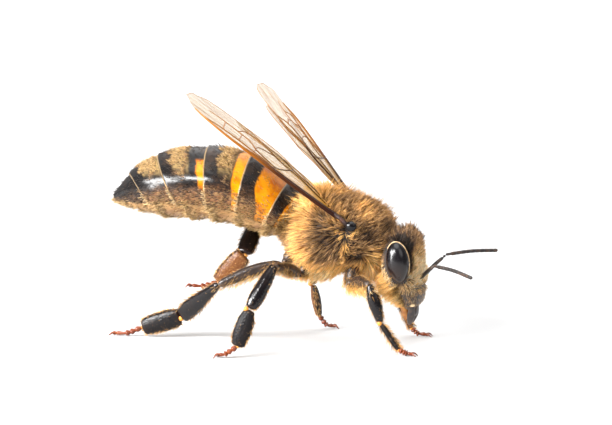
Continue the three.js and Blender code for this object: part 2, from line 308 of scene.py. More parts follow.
def as_colour(value):
    return value if isinstance(value, Socket) else (*value, 1)


def step(x, low, high):
    """0 below low, 1 above high and a smooth rise between. Takes a socket, a number or an array."""
    if isinstance(x, Socket):
        return x.paint.node("ShaderNodeMapRange", {"interpolation_type": "SMOOTHSTEP"},
                            {0: x, 1: low, 2: high, 3: 0.0, 4: 1.0})
    t = np.clip((x - low) / (high - low), 0, 1)
    return t * t * (3 - 2 * t)


# ---------------------------------------------------------------- lines, bodies and meshes

def spline(rows, share):
    """Points of the smooth line through rows, at shares of the way from the first row to the last."""
    rows = np.asarray(rows, float)
    if len(rows) == 2:
        rows = np.array([rows[0], (rows[0] + rows[1]) / 2, rows[1]])
    padded = np.vstack([2 * rows[0] - rows[1], rows, 2 * rows[-1] - rows[-2]])
    t = np.clip(np.asarray(share, float), 0, 1) * (len(rows) - 1)
    i = np.minimum(t.astype(int), len(rows) - 2)
    f = (t - i)[..., None]
    a, b, c, d = (padded[i + k] for k in range(4))
    return 0.5 * (2 * b + (c - a) * f + (2 * a - 5 * b + 4 * c - d) * f**2 + (3 * b - a - 3 * c + d) * f**3)


def circle(around):
    """Evenly spaced angles of one turn."""
    return np.arange(around) / around * 2 * math.pi


def on_side(place, side):
    """A place that is given for the left side, on the side asked for."""
    return np.array([place[0], side * place[1], place[2]])


def lean_over(x, z, lean):
    """Places in an upright plane, turned by an angle."""
    return x * math.cos(lean) - z * math.sin(lean), x * math.sin(lean) + z * math.cos(lean)


def unit(vectors):
    vectors = np.asarray(vectors, float)
    return vectors / np.maximum(np.linalg.norm(vectors, axis=-1, keepdims=True), 1e-12)


def make_mesh(name, points, faces, corner_map=None, point_values=None):
    """A mesh object from points in millimetres and arrays of faces, each with one number of corners."""
    corners = np.concatenate([f.ravel() for f in faces])
    sizes = np.concatenate([np.full(len(f), f.shape[1]) for f in faces])
    mesh = bpy.data.meshes.new(name)
    mesh.vertices.add(len(points))
    mesh.vertices.foreach_set("co", to_part(points).astype(np.float32).ravel())
    mesh.loops.add(len(corners))
    mesh.loops.foreach_set("vertex_index", corners.astype(np.int32))
    mesh.polygons.add(len(sizes))
    starts = np.concatenate([[0], np.cumsum(sizes)[:-1]])
    mesh.polygons.foreach_set("loop_start", starts.astype(np.int32))
    mesh.polygons.foreach_set("use_smooth", np.ones(len(sizes), bool))
    mesh.update(calc_edges=True)
    for map_name, values in (corner_map or {}).items():
        layer = mesh.uv_layers.new(name=map_name)
        layer.data.foreach_set("uv", np.asarray(values, np.float32).ravel())
    for value_name, values in (point_values or {}).items():
        layer = mesh.attributes.new(value_name, "FLOAT", "POINT")
        layer.data.foreach_set("value", np.asarray(values, np.float32).ravel())
    mesh.validate()
    return add_object(name, mesh)


def finish_piece(piece, material, nodes=()):
    piece.data.materials.clear()
    piece.data.materials.append(material)
    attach(piece, "root")
    if nodes:
        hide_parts(*nodes)
    return piece


def ring_faces(rings, around):
    """Faces of a closed tube of rings, with a point at each end: ring points first, then the two ends."""
    i = np.arange(rings - 1)[:, None] * around
    j = np.arange(around)[None, :]
    k = (j + 1) % around
    quads = np.stack([i + j, i + k, i + around + k, i + around + j], -1).reshape(-1, 4)
    first, last = rings * around, rings * around + 1
    j, k = j[0], k[0]
    start = np.stack([np.full(around, first), k, j], -1)
    base = (rings - 1) * around
    end = np.stack([np.full(around, last), base + j, base + k], -1)
    return quads, start, end


def tube_parts(rings, shares=None):
    """Points, faces and map of a closed tube through rings of points (rings, around, 3)."""
    count, around = rings.shape[:2]
    shares = np.linspace(0, 1, count) if shares is None else shares
    points = np.vstack([rings.reshape(-1, 3), rings[0].mean(0), rings[-1].mean(0)])
    quads, start, end = ring_faces(count, around)
    j = np.arange(around)
    u0, u1 = j / around, (j + 1) / around
    v0, v1 = shares[:-1, None] + 0 * u0, shares[1:, None] + 0 * u0
    u0s, u1s = np.broadcast_to(u0, v0.shape), np.broadcast_to(u1, v0.shape)
    quad_map = np.stack([u0s, v0, u1s, v0, u1s, v1, u0s, v1], -1).reshape(-1, 2)
    middle = (u0 + u1) / 2
    start_map = np.stack([middle, 0 * u0 + shares[0], u1, 0 * u0 + shares[0], u0, 0 * u0 + shares[0]], -1)
    end_map = np.stack([middle, 0 * u0 + shares[-1], u0, 0 * u0 + shares[-1], u1, 0 * u0 + shares[-1]], -1)
    corner_map = np.vstack([quad_map, start_map.reshape(-1, 2), end_map.reshape(-1, 2)])
    return points, [quads, np.vstack([start, end])], corner_map


def join_parts(parts):
    """Several sets of points, [quads, triangles] and maps as one set."""
    points, quads, triangles, quad_maps, triangle_maps, start = [], [], [], [], [], 0
    for part_points, part_faces, part_map in parts:
        points.append(part_points)
        quads.append(part_faces[0] + start)
        triangles.append(part_faces[1] + start)
        cut = part_faces[0].size
        quad_maps.append(part_map[:cut])
        triangle_maps.append(part_map[cut:])
        start += len(part_points)
    return np.vstack(points), [np.vstack(quads), np.vstack(triangles)], np.vstack(quad_maps + triangle_maps)


def add_parts(name, parts, material, nodes=()):
    points, faces, corner_map = join_parts(parts)
    piece = make_mesh(name, points, faces, {"lay": corner_map})
    return finish_piece(piece, material, nodes)


class Hull:
    """A smooth closed body of rings about a line in the bee's middle plane.

    s runs from 0 to 1 along the stations. a is the angle from the top, positive to the left.
    On an upright body the top of each ring is its front.
    """

    NEAR = 1e-3

    def __init__(self, stations, relief=None):
        self.rows = np.array(stations, float)
        self.relief = relief or (lambda s, a: 0.0)

    def point(self, s, a, lift=0.0):
        s, a = np.broadcast_arrays(np.asarray(s, float), np.asarray(a, float))
        row = spline(self.rows, s)
        slope = unit(spline(self.rows, s + self.NEAR)[..., :2] - spline(self.rows, s - self.NEAR)[..., :2])
        proud = lift + self.relief(s, a)
        rise = (np.where(np.cos(a) > 0, row[..., 3], row[..., 4]) + proud) * np.cos(a)
        return np.stack([row[..., 0] + slope[..., 1] * rise,
                         (row[..., 2] + proud) * np.sin(a),
                         row[..., 1] - slope[..., 0] * rise], -1)

    def rings(self, steps, around, start=0.0, end=1.0, lift=0.0):
        return self.point(np.linspace(start, end, steps)[:, None], circle(around)[None, :], lift)


def rings_about(middle, up, across, high, wide, around):
    """Rings about a line: high and wide are their half sizes along the ways up and across."""
    a = circle(around)
    return (middle[:, None]
            + up[:, None] * (np.cos(a)[None, :] * high[:, None])[..., None]
            + across[:, None] * (np.sin(a)[None, :] * wide[:, None])[..., None])


def limb(line, wide, thick, facing, steps=18, around=14, ends=(0.12, 0.12)):
    """A closed limb along a smooth line. wide and thick are its half sizes from its upper end to
    its lower one, and ends says over what share of its length each end rounds off."""
    t = (1 - np.cos(np.linspace(0, math.pi, steps))) / 2
    middle = spline(line, t)
    along = unit(np.gradient(middle, axis=0))
    facing = np.asarray(facing, float)
    up = unit(facing - (along @ facing)[:, None] * along)
    close = np.ones(steps)
    for share, end in zip((t, 1 - t), ends):
        x = np.clip(share / end, 0.03, 1)
        close *= np.sqrt(1 - (1 - x) ** 2)
    high, broad = (spline(np.array(half, float)[:, None], t)[:, 0] * close for half in (thick, wide))
    return tube_parts(rings_about(middle, up, np.cross(along, up), high, broad, around), t)


def bead(middle, reach, steps=9, around=14):
    """A closed ellipsoid."""
    a = circle(around)
    b = np.linspace(0.06, math.pi - 0.06, steps)[:, None]
    x, y, z = reach
    rings = np.stack([x * np.sin(b) * np.cos(a), y * np.sin(b) * np.sin(a), -z * np.cos(b) + 0 * a], -1)
    return tube_parts(rings + np.asarray(middle, float))


# ---------------------------------------------------------------- finishes of the bare body

BLACK = (0.009, 0.008, 0.008)
DARK_BROWN = (0.035, 0.02, 0.012)
AMBER = (0.74, 0.28, 0.003)
ORANGE = (0.5, 0.13, 0.002)
FELT = (0.28, 0.18, 0.066)
CREAM = (0.75, 0.5, 0.24)


def mottled_paint(name, base, tint, per_mm, detail, spread, roughness, uneven=0.0, bumps=None):
    """Shell or skin in two colours, in blobs of about per_mm to the millimetre. spread is between
    which shares of the noise one turns into the other, and uneven how much the gloss follows it."""
    paint = Paint(name)
    cloud = paint.noise(per_mm, detail)
    sockets = {"Base_Color": paint.mix(step(cloud, *spread), base, tint),
               "Roughness": roughness + cloud * uneven if uneven else roughness}
    if bumps:
        sockets["Normal"] = bumps(paint)
    return paint.surface(**sockets)


def mouth_paint(name, base, tint, roughness):
    return mottled_paint(name, base, tint, 4.0, 3, (0.35, 0.72), roughness, 0.15,
                         lambda paint: paint.bump(paint.noise(14.0, 2), 0.012, 0.5))


def leg_paint(name, base, tint, gloss, shine=0.5, inner=None, furry=1.0):
    """Hard shell of a leg, browner towards its ends, with fine pits. inner is the colour of its
    furry side, and furry how much of that shows."""
    paint = Paint(name)
    cloud = paint.noise(3.0, 3)
    ends = step(abs(paint.lay("Y") - 0.5), 0.36, 0.5)
    colour = paint.mix(step(cloud + ends * 0.35, 0.45, 0.95), base, tint)
    if inner:
        colour = paint.mix(step(abs(paint.lay("X") - 0.5), 0.2, 0.1) * furry, colour, inner)
    grain = paint.pits(13) + paint.noise(7.0, 2) * 0.7
    return paint.surface(Base_Color=colour, Roughness=gloss + cloud * 0.1, Specular_IOR_Level=shine,
                         Normal=paint.bump(grain, 0.004 + 0.12 * gloss**2, 0.9))


# ---------------------------------------------------------------- legs

# Joints from the hip, inside the thorax, to the claws, and the way that the flat of the leg faces.
LEGS = {
    "right_front": ("front", (0, -1, 0), [
        [0.9, -0.45, 3.5], [0.85, -0.95, 2.68], [1.94, -2.2, 2.82], [2.42, -2.3, 1.31],
        [3.18, -2.3, 0.24], [3.5, -2.32, 0.12], [3.9, -2.34, 0.09]]),
    "right_middle": ("middle", (0, -1, 0), [
        [-0.75, -0.6, 3.6], [-1.15, -1.1, 3.0], [-1.78, -3.39, 3.65], [-2.57, -4.18, 2.0],
        [-3.08, -4.3, 0.48], [-3.55, -4.38, 0.17], [-4.02, -4.46, 0.1]]),
    "right_hind": ("hind", (0, -1, 0), [
        [-1.35, -0.5, 4.1], [-1.85, -1.0, 3.5], [-4.47, -1.96, 2.56], [-6.42, -0.46, 0.95],
        [-8.1, -0.34, 0.4], [-8.75, -0.3, 0.14], [-9.5, -0.25, 0.1]]),
    "left_front": ("front", (0, 1, 0), [
        [0.9, 0.45, 3.5], [0.85, 0.95, 2.68], [1.8, 2.2, 2.85], [2.25, 2.3, 1.35],
        [2.75, 2.3, 0.34], [3.02, 2.32, 0.13], [3.58, 2.34, 0.09]]),
    "left_middle": ("middle", (0.95, 0.3, 0), [
        [-0.75, 0.6, 3.6], [-1.15, 1.1, 3.0], [-1.5, 2.9, 3.8], [-1.6, 3.05, 1.9],
        [-1.4, 3.2, 0.58], [-1.1, 3.3, 0.18], [-0.63, 3.45, 0.1]]),
    "left_hind": ("hind", (0, 1, 0), [
        [-1.35, 0.5, 4.1], [-1.85, 1.0, 3.5], [-3.67, 2.6, 5.15], [-4.02, 0.75, 3.45],
        [-5.17, 0.95, 2.2], [-5.85, 0.95, 2.02], [-6.54, 0.85, 2.05]]),
}

# Half width and half thickness of each length of a leg, from its upper end to its lower one.
LEG_SIZES = {
    "front": {"femur": ([0.17, 0.27, 0.27, 0.2, 0.14], [0.16, 0.22, 0.21, 0.17, 0.13]),
              "tibia": ([0.12, 0.24, 0.26, 0.21, 0.13], [0.12, 0.22, 0.24, 0.19, 0.12]),
              "basitarsus": ([0.1, 0.12, 0.12, 0.1], [0.09, 0.11, 0.11, 0.09])},
    "middle": {"femur": ([0.14, 0.24, 0.25, 0.2, 0.17], [0.13, 0.2, 0.2, 0.17, 0.14]),
               "tibia": ([0.17, 0.25, 0.29, 0.31, 0.22], [0.14, 0.22, 0.24, 0.22, 0.15]),
               "basitarsus": ([0.2, 0.33, 0.37, 0.35, 0.26], [0.12, 0.18, 0.2, 0.18, 0.13])},
    "hind": {"femur": ([0.14, 0.23, 0.25, 0.22, 0.17], [0.12, 0.19, 0.19, 0.17, 0.14]),
             "tibia": ([0.15, 0.24, 0.33, 0.38, 0.33], [0.13, 0.18, 0.19, 0.18, 0.13]),
             "basitarsus": ([0.34, 0.42, 0.42, 0.4, 0.3], [0.14, 0.2, 0.21, 0.19, 0.13])},
}
TARSUS_SHARES = (0.0, 0.2, 0.37, 0.54, 0.93)
FOOT_JOINT = np.array([0.07, 0.1, 0.145, 0.155, 0.09])
LAST_FOOT_JOINT = np.array([0.06, 0.08, 0.09, 0.11, 0.09])
CLAW = 0.26
CLAW_SIZES = [0.04, 0.036, 0.026, 0.008]


def foot_parts(heel, ball, toe):
    """Four small joints, each a cup that holds the next, then a pad between two claws."""
    along = unit(toe - ball)
    toe = toe - along * (CLAW - 0.04)
    parts = []
    for k, (first, last) in enumerate(zip(TARSUS_SHARES, TARSUS_SHARES[1:])):
        piece = spline(np.array([heel, ball, toe]), np.linspace(first, last + 0.03, 5))
        size = FOOT_JOINT if k < 3 else LAST_FOOT_JOINT
        parts.append(limb(piece, size, 0.8 * size, (0, 0, 1), steps=10, around=10, ends=(0.1, 0.15)))
    across = unit(np.cross(along, (0, 0, 1)))
    drop = toe[2] if toe[2] < 1 else 0.12
    parts.append(bead(toe + along * 0.03 - (0, 0, 0.3 * drop), (0.09, 0.08, 0.05)))
    for way in (-1, 1):
        hook = [toe - along * 0.04 + across * way * 0.03,
                toe + along * 0.1 + across * way * 0.12 + (0, 0, 0.03),
                toe + along * (0.7 * CLAW) + across * way * 0.17 - (0, 0, 0.3 * drop),
                toe + along * CLAW + across * way * 0.15 - (0, 0, 0.85 * drop)]
        parts.append(limb(hook, CLAW_SIZES, CLAW_SIZES, (0, 0, 1), steps=12, around=8, ends=(0.1, 0.02)))
    return parts


def leg_lengths(name):
    """The four long parts of a leg."""
    kind, facing, joints = LEGS[name]
    hip, trochanter, knee, ankle, heel = (np.array(p) for p in joints[:5])
    sizes = LEG_SIZES[kind]
    neck = trochanter + 0.18 * unit(knee - trochanter)
    gap = 0.03 * unit(ankle - knee)
    lines = {
        "femur": ([neck, (neck + knee) / 2 + (0, 0, 0.08), knee], 24, 18, (0.12, 0.12)),
        "tibia": ([knee - 2 * gap, (knee + ankle) / 2, ankle - gap], 30, 24, (0.05, 0.04)),
        "basitarsus": ([ankle + gap, (ankle + heel) / 2, heel], 30, 24, (0.05, 0.05)),
    }
    coxa = limb([hip, trochanter], [0.24, 0.3, 0.27, 0.2], [0.24, 0.28, 0.25, 0.19], facing)
    return {"coxa": coxa} | {length: limb(line, *sizes[length], facing, steps, around, ends)
                             for length, (line, steps, around, ends) in lines.items()}


# Where the pale joint shows beside the ankle.
ANKLE_JOINTS = {"front": (-0.04, -0.04, 0.0), "middle": (-0.15, -0.04, 0.02), "hind": (0.03, -0.06, -0.08)}


def build_legs():
    black, brown, fur = (0.004, 0.003, 0.0035), (0.014, 0.007, 0.005), (0.13, 0.045, 0.012)
    thigh = leg_paint("leg_thigh", (0.022, 0.014, 0.011), (0.07, 0.042, 0.028), 0.24)
    shin = leg_paint("leg_shin", black, brown, 0.13, 0.34)
    furry_shin = leg_paint("leg_shin_furry", black, brown, 0.13, 0.34, fur, 0.6)
    brush = leg_paint("leg_brush", black, brown, 0.36, 0.2, fur)
    hind_brush = leg_paint("leg_brush_hind", black, brown, 0.24, 0.26, fur)
    foot = leg_paint("leg_foot", (0.16, 0.03, 0.008), (0.36, 0.09, 0.016), 0.22)
    joint = mottled_paint("joint_skin", (0.75, 0.33, 0.05), (0.5, 0.16, 0.02), 8.0, 2, (0.35, 0.7), 0.4)
    for name, (kind, _, joints) in LEGS.items():
        trochanter, ankle, heel, ball, toe = (np.array(joints[k]) for k in (1, 3, 4, 5, 6))
        lengths = leg_lengths(name)
        hind = kind == "hind"
        beside = on_side(ANKLE_JOINTS[kind], 1 if "right" in name else -1)
        upper = [lengths["coxa"], bead(trochanter, (0.16, 0.15, 0.15)), lengths["femur"]]
        pale = [bead(ankle + beside, (0.11, 0.1, 0.11)), bead(heel, (0.09, 0.08, 0.08))]
        add_parts(f"leg_{name}_thigh", upper, thigh, [f"leg_{name}_coxa", f"leg_{name}_femur"])
        add_parts(f"leg_{name}_shin", [lengths["tibia"]], shin if hind else furry_shin,
                  [f"leg_{name}_tibia"])
        add_parts(f"leg_{name}_brush", [lengths["basitarsus"]], hind_brush if hind else brush,
                  [f"leg_{name}_basitarsus"])
        add_parts(f"leg_{name}_joint", pale, joint)
        add_parts(f"leg_{name}_foot", foot_parts(heel, ball, toe), foot, [f"leg_{name}_tarsus"])


# ---------------------------------------------------------------- head, eyes and feelers

EYE = {"place": (2.93, 1.42, 3.69), "reach": (0.48, 0.46, 0.84), "lean": math.radians(7)}
ORBIT = {"place": (2.72, 1.2, 3.58), "reach": (0.46, 0.44, 0.94), "lean": 0.0}
OCELLI = ((3.16, 0, 4.58), (2.97, 0.3, 4.66), (2.97, -0.3, 4.66))
FEELERS = {
    "right": ([3.55, -0.28, 2.76], [4.4, -1.21, 3.56], [6.31, -2.95, 3.4]),
    "left": ([3.55, 0.28, 2.76], [4.54, 0.54, 3.77], [6.36, 2.29, 3.74]),
}
FEELER_SOCKET = (3.6, 0.28, 2.78)
SCAPE_SHARE = 0.9
WHIP_JOINTS = 11


def eye_rings(side, steps=44, around=56):
    """Rings of an eye about its upright axis, fuller above and narrowing below."""
    b = np.linspace(0.03, 0.97, steps)[:, None] * math.pi
    a = circle(around)[None, :]
    x, y, z = EYE["reach"]
    height = -np.cos(b)
    narrow = 1 - 0.13 * step(-height, 0.1, 1.0)
    turned_x, turned_z = lean_over(x * np.sin(b) * np.cos(a) * narrow, z * height + 0 * a, EYE["lean"])
    return np.stack([turned_x, y * np.sin(b) * np.sin(a), turned_z], -1) + on_side(EYE["place"], side)


def eye_paint():
    """Black above, with a painted reflection of the floor in brown below, and fine facets."""
    paint = Paint("eye_facets")
    # Painted reflection: below this height the eye is brown, standing in for the floor seen in its gloss, and
    # above it the eye is black.
    upper = step(paint.axis("Z"), 2.9 * MM, 3.9 * MM)
    colour = paint.mix(upper, (0.022, 0.012, 0.009), (0.004, 0.003, 0.004))
    return paint.surface(Base_Color=colour, Roughness=0.24, Specular_IOR_Level=0.42,
                         Normal=paint.bump(paint.pits(38), 0.003, 0.1))


def rim_paint():
    """The ring round an eye: cream over the top and front, dark behind and below."""
    paint = Paint("eye_rim")
    turn = paint.lay("Y") * (2 * math.pi) - math.radians(55)
    front = step(turn.sum("COSINE", turn), -0.25, 0.25)
    cream = paint.mix(step(paint.noise(9.0, 2), 0.35, 0.65), (0.66, 0.46, 0.24), (0.4, 0.24, 0.11))
    return paint.surface(Base_Color=paint.mix(front, DARK_BROWN, cream), Roughness=0.4)


def face_paint():
    """Dark shell of the head, smooth grey on the lower face."""
    paint = Paint("head_shell")
    cloud = paint.noise(3.0, 3)
    lower = 1 - step(paint.axis("Z"), 2.2 * MM, 2.9 * MM)
    upper = paint.mix(step(cloud, 0.35, 0.7), BLACK, DARK_BROWN)
    grey = paint.mix(step(cloud, 0.35, 0.7), (0.03, 0.028, 0.029), (0.085, 0.07, 0.06))
    return paint.surface(Base_Color=paint.mix(lower, upper, grey), Roughness=0.45 - lower * 0.17,
                         Normal=paint.bump(paint.pits(24), 0.014, 0.6))


def head_relief(s, a):
    """The clypeus stands a little proud of the lower face."""
    front = np.clip(np.cos(a), 0, 1) ** 3
    return 0.1 * front * step(s, 0.12, 0.22) * (1 - step(s, 0.45, 0.52))


HEAD_HULL = Hull(HEAD, head_relief)


def inside_head(place):
    """Whether places are inside the head's hull."""
    rows = spline(HEAD, np.linspace(0, 1, 200))
    middle, half, ahead, behind = (np.interp(place[..., 2], rows[:, 1], rows[:, k]) for k in (0, 2, 3, 4))
    x = place[..., 0] - middle
    return (x / np.where(x > 0, ahead, behind)) ** 2 + (place[..., 1] / half) ** 2 < 1


def orbit_line(side, count=72):
    """Places round an eye where it comes out of the head."""
    turn = circle(count)[:, None]
    polar = np.linspace(0.1, math.pi / 2, 120)[None, :]
    x, y, z = EYE["reach"]
    out_x, out_z = x * np.sin(polar) * np.cos(turn), z * np.sin(polar) * np.sin(turn)
    turned_x, turned_z = lean_over(out_x, out_z, EYE["lean"])
    place = np.stack([turned_x, side * y * np.cos(polar) + 0 * turn, turned_z], -1)
    place = place + on_side(EYE["place"], side)
    sunk = inside_head(place)
    first = np.where(sunk.any(1), np.argmax(sunk, axis=1), polar.shape[1] - 1)
    return place[np.arange(count), first]


def loop_tube(line, half, around=10):
    """A closed ring of tube along a loop of places."""
    count = len(line)
    along = unit(np.roll(line, -1, 0) - np.roll(line, 1, 0))
    up = unit(np.cross(along, (0, 1, 0)))
    halves = np.full(count, half)
    rings = rings_about(line, up, np.cross(along, up), halves, halves, around)
    i, j = np.arange(count)[:, None], np.arange(around)[None, :]
    k, m = (i + 1) % count, (j + 1) % around
    quads = np.stack([i * around + j, i * around + m, k * around + m, k * around + j], -1).reshape(-1, 4)
    place = np.stack(np.broadcast_arrays(j / around, i / count), -1).reshape(-1, 2)
    return rings.reshape(-1, 3), [quads, np.zeros((0, 3), int)], place[quads].reshape(-1, 2)


def orbit_part(side):
    """The swelling that carries an eye, seen behind it."""
    return bead(on_side(ORBIT["place"], side), ORBIT["reach"], 48, 60)


def build_eyes():
    glass, rim = eye_paint(), rim_paint()
    add_parts("ocelli", [bead(place, (0.12, 0.13, 0.11)) for place in OCELLI], glass)
    for name, side in SIDES.items():
        add_parts(f"eye_{name}_facets", [tube_parts(eye_rings(side))], glass, [f"eye_{name}"])
        add_parts(f"eye_{name}_rim", [loop_tube(orbit_line(side), 0.028)], rim)


def build_mouth():
    dark = mouth_paint("jaw_shell", (0.022, 0.021, 0.023), (0.09, 0.055, 0.04), 0.25)
    pale = mouth_paint("jaw_joint", (0.7, 0.5, 0.28), (0.45, 0.3, 0.15), 0.4)
    amber = mouth_paint("tongue_skin", (0.55, 0.24, 0.05), (0.3, 0.1, 0.025), 0.35)
    labrum = limb([[3.42, 0, 1.78], [3.42, 0, 1.5], [3.34, 0, 1.28]],
                  [0.26, 0.28, 0.2], [0.09, 0.1, 0.07], (1, 0, 0))
    tongue = [limb([[2.78, 0, 2.0], [2.86, 0, 1.5], [2.98, 0, 1.08]],
                   [0.1, 0.09, 0.07], [0.1, 0.09, 0.05], (1, 0, 0))]
    add_parts("labrum", [labrum], dark)
    for name, side in SIDES.items():
        jaw = limb([[3.3, side * 0.5, 1.95], [3.3, side * 0.44, 1.45], [3.16, side * 0.2, 0.92]],
                   [0.15, 0.13, 0.16, 0.08], [0.12, 0.1, 0.09, 0.05], (0.3, side, 0), steps=22)
        add_parts(f"jaw_{name}", [jaw], dark, [f"mandible_{name}"])
        add_parts(f"jaw_{name}_joint", [bead((3.36, side * 0.6, 1.8), (0.13, 0.05, 0.07))], pale)
        tongue.append(limb([[2.9, side * 0.2, 2.1], [2.95, side * 0.17, 1.6], [3.08, side * 0.08, 1.12]],
                           [0.15, 0.13, 0.06], [0.05, 0.05, 0.03], (0, side, 0)))
    add_parts("tongue_sheaths", tongue, amber, ["tongue"])


def build_head():
    neck_sizes = [0.35, 0.4, 0.6]
    parts = [tube_parts(HEAD_HULL.rings(72, 96)),
             limb([[2.75, 0, 4.0], [2.3, 0, 4.2], [1.9, 0, 4.3]], neck_sizes, neck_sizes, (0, 0, 1))]
    for side in (RIGHT, LEFT):
        parts += [bead(on_side(FEELER_SOCKET, side), (0.1, 0.13, 0.13)), orbit_part(side)]
    add_parts("head_skin", parts, face_paint(), ["head"])
    build_eyes()
    build_mouth()


def build_feelers():
    shell = mottled_paint("feeler_shell", (0.012, 0.009, 0.008), (0.06, 0.028, 0.014), 6.0, 2,
                          (0.4, 0.75), 0.38, bumps=lambda paint: paint.bump(paint.pits(45), 0.008, 0.5))
    bow = np.array([0.02, 0, 0.06])
    for name, places in FEELERS.items():
        socket, elbow, tip = (np.array(p) for p in places)
        bend = socket + SCAPE_SHARE * (elbow - socket)
        scape = limb([socket, (socket + bend) / 2 + bow, bend],
                     [0.075, 0.085, 0.085, 0.075], [0.07, 0.08, 0.08, 0.07], (0, 0, 1), 20)
        add_parts(f"feeler_{name}_scape", [scape], shell, [f"antenna_{name}_scape"])
        line = np.array([elbow, (elbow + tip) / 2 + bow, tip])
        parts = [bead(bend + 0.35 * (elbow - bend), (0.06, 0.06, 0.06))]
        edges = np.concatenate([[0.0], 0.1 + 0.9 * np.linspace(0, 1, WHIP_JOINTS)])
        for k in range(WHIP_JOINTS):
            piece = spline(line, np.linspace(edges[k] - 0.004, edges[k + 1] + 0.004, 4))
            r = 0.062 if k == 0 else 0.082
            sizes = [0.93 * r, r, r, 0.95 * r]
            blunt = 0.5 if k == WHIP_JOINTS - 1 else 0.08
            parts.append(limb(piece, sizes, sizes, (0, 0, 1), 9, 12, ends=(0.08, blunt)))
        add_parts(f"feeler_{name}_whip", parts, shell, [f"antenna_{name}_flagellum"])


# ---------------------------------------------------------------- thorax and abdomen

def thorax_relief(s, a):
    """The scutellum swells at the back of the top, behind a shallow groove."""
    top = np.clip(np.cos(a), 0, 1) ** 2
    swell = 0.16 * top * np.exp(-((s - 0.69) / 0.07) ** 2)
    groove = 0.1 * top * np.exp(-((s - 0.6) / 0.02) ** 2)
    return swell - groove


THORAX_HULL = Hull(THORAX, thorax_relief)
ABDOMEN_HULL = Hull(ABDOMEN)
LAST_ROW = len(ABDOMEN) - 1

# Where each ring ends: the station number at the top of the bee and low on its side.
RIMS = [(1.36, 1.15), (2.25, 2.02), (3.15, 2.88), (4.32, 3.75), (5.25, 4.6)]
SIDE_ANGLE = math.radians(115)
PLATE_SIDE = math.radians(119)
BELLY_SIDE = math.radians(108)
TUCK = 0.3
PLATE_THICK = 0.05
RIM_LIFT, TUCK_LIFT, BELLY_SINK = 0.05, -0.03, 0.035


def rim_row(k, a):
    """Station number of the rear edge of ring k, counted from the waist, at an angle from the top."""
    if k < 0:
        return 0 * a + 0.35
    if k >= len(RIMS):
        return 0 * a + LAST_ROW
    top, low = RIMS[k]
    return top + (low - top) * np.minimum(np.abs(a) / SIDE_ANGLE, 1.25) ** 1.3


def plate_share(k, v, a):
    """Share of the abdomen's length at a share v of ring k's visible length."""
    front = rim_row(k - 1, a)
    return (front + v * (rim_row(k, a) - front)) / LAST_ROW


def plate_lift(v, belly):
    """How far a plate stands off the hull: tucked in at its front and proud at its rim."""
    rise = TUCK_LIFT + (RIM_LIFT - TUCK_LIFT) * step(v, -0.1, 0.9)
    rounded = 0.03 * np.clip((v - 0.95) / 0.05, 0, 1) ** 2
    return rise - rounded - (BELLY_SINK if belly else 0)


def plate_faces(k, first, last, belly, start, steps=40, around=72):
    """Outer and inner points of a curved plate of the abdomen, and its map."""
    v = np.linspace(start, 1, steps)[:, None]
    a = np.linspace(first, last, around)[None, :]
    s = plate_share(k, v, a)
    lift = plate_lift(v, belly) + 0 * a
    edge = np.minimum(a - first, last - a)
    lift = lift - 0.03 * (1 - step(edge, 0, 0.05))
    outer = ABDOMEN_HULL.point(s, a, lift)
    inner = ABDOMEN_HULL.point(s, a, lift - PLATE_THICK)
    return outer, inner, np.stack([a / (2 * math.pi) + 0 * v, v + 0 * a], -1)


def grid_faces(rows, columns):
    i = np.arange(rows - 1)[:, None] * columns + np.arange(columns - 1)[None, :]
    return np.stack([i, i + 1, i + columns + 1, i + columns], -1).reshape(-1, 4)


def sheet_parts(outer, inner, grid):
    """A thin closed solid between two grids of points (rows, columns, 3), with its map."""
    rows, columns = outer.shape[:2]
    points = np.vstack([outer.reshape(-1, 3), inner.reshape(-1, 3)])
    face = grid_faces(rows, columns)
    far = rows * columns
    quads = [face, face[:, ::-1] + far]
    along, down = np.arange(columns - 1), np.arange(rows - 1)
    borders = ((along, 1), ((rows - 1) * columns + along[::-1] + 1, -1),
               (down[::-1] * columns + columns, -columns), (down * columns + columns - 1, columns))
    for border, way in borders:
        quads.append(np.stack([border + way, border, border + far, border + way + far], -1))
    quads = np.vstack(quads)
    places = np.tile(grid.reshape(-1, 2), (2, 1))
    return points, [quads, np.zeros((0, 3), int)], places[quads].reshape(-1, 2)


def skin_part(points, grid):
    """An open grid of points with its map, for hairs to stand on."""
    faces = grid_faces(*points.shape[:2])
    return points.reshape(-1, 3), [faces, np.zeros((0, 3), int)], grid.reshape(-1, 2)[faces].reshape(-1, 2)


# Markings of each ring behind the waist. orange is the share of its visible length where the orange
# base ends, narrow how much less that is low on the side, and above and below the angles from the
# top, in degrees, between which it shows. felt is the share from which and to which the pale felt
# lies, and reach how far down the side it comes.
PLAIN = {"orange": None, "narrow": 0.0, "above": (-9, -8), "below": (178, 180), "felt": None, "reach": 40}
MARKS = [
    {**PLAIN, "orange": 0.6},
    {**PLAIN, "orange": 0.62, "narrow": 0.27},
    {**PLAIN, "orange": 0.24, "narrow": 0.08, "felt": (0.26, 0.62), "reach": 60},
    {**PLAIN, "orange": 0.14, "above": (36, 46), "below": (78, 95), "felt": (0.31, 0.67), "reach": 60},
    {**PLAIN, "felt": (0.0, 0.6), "reach": 60},
    PLAIN,
]


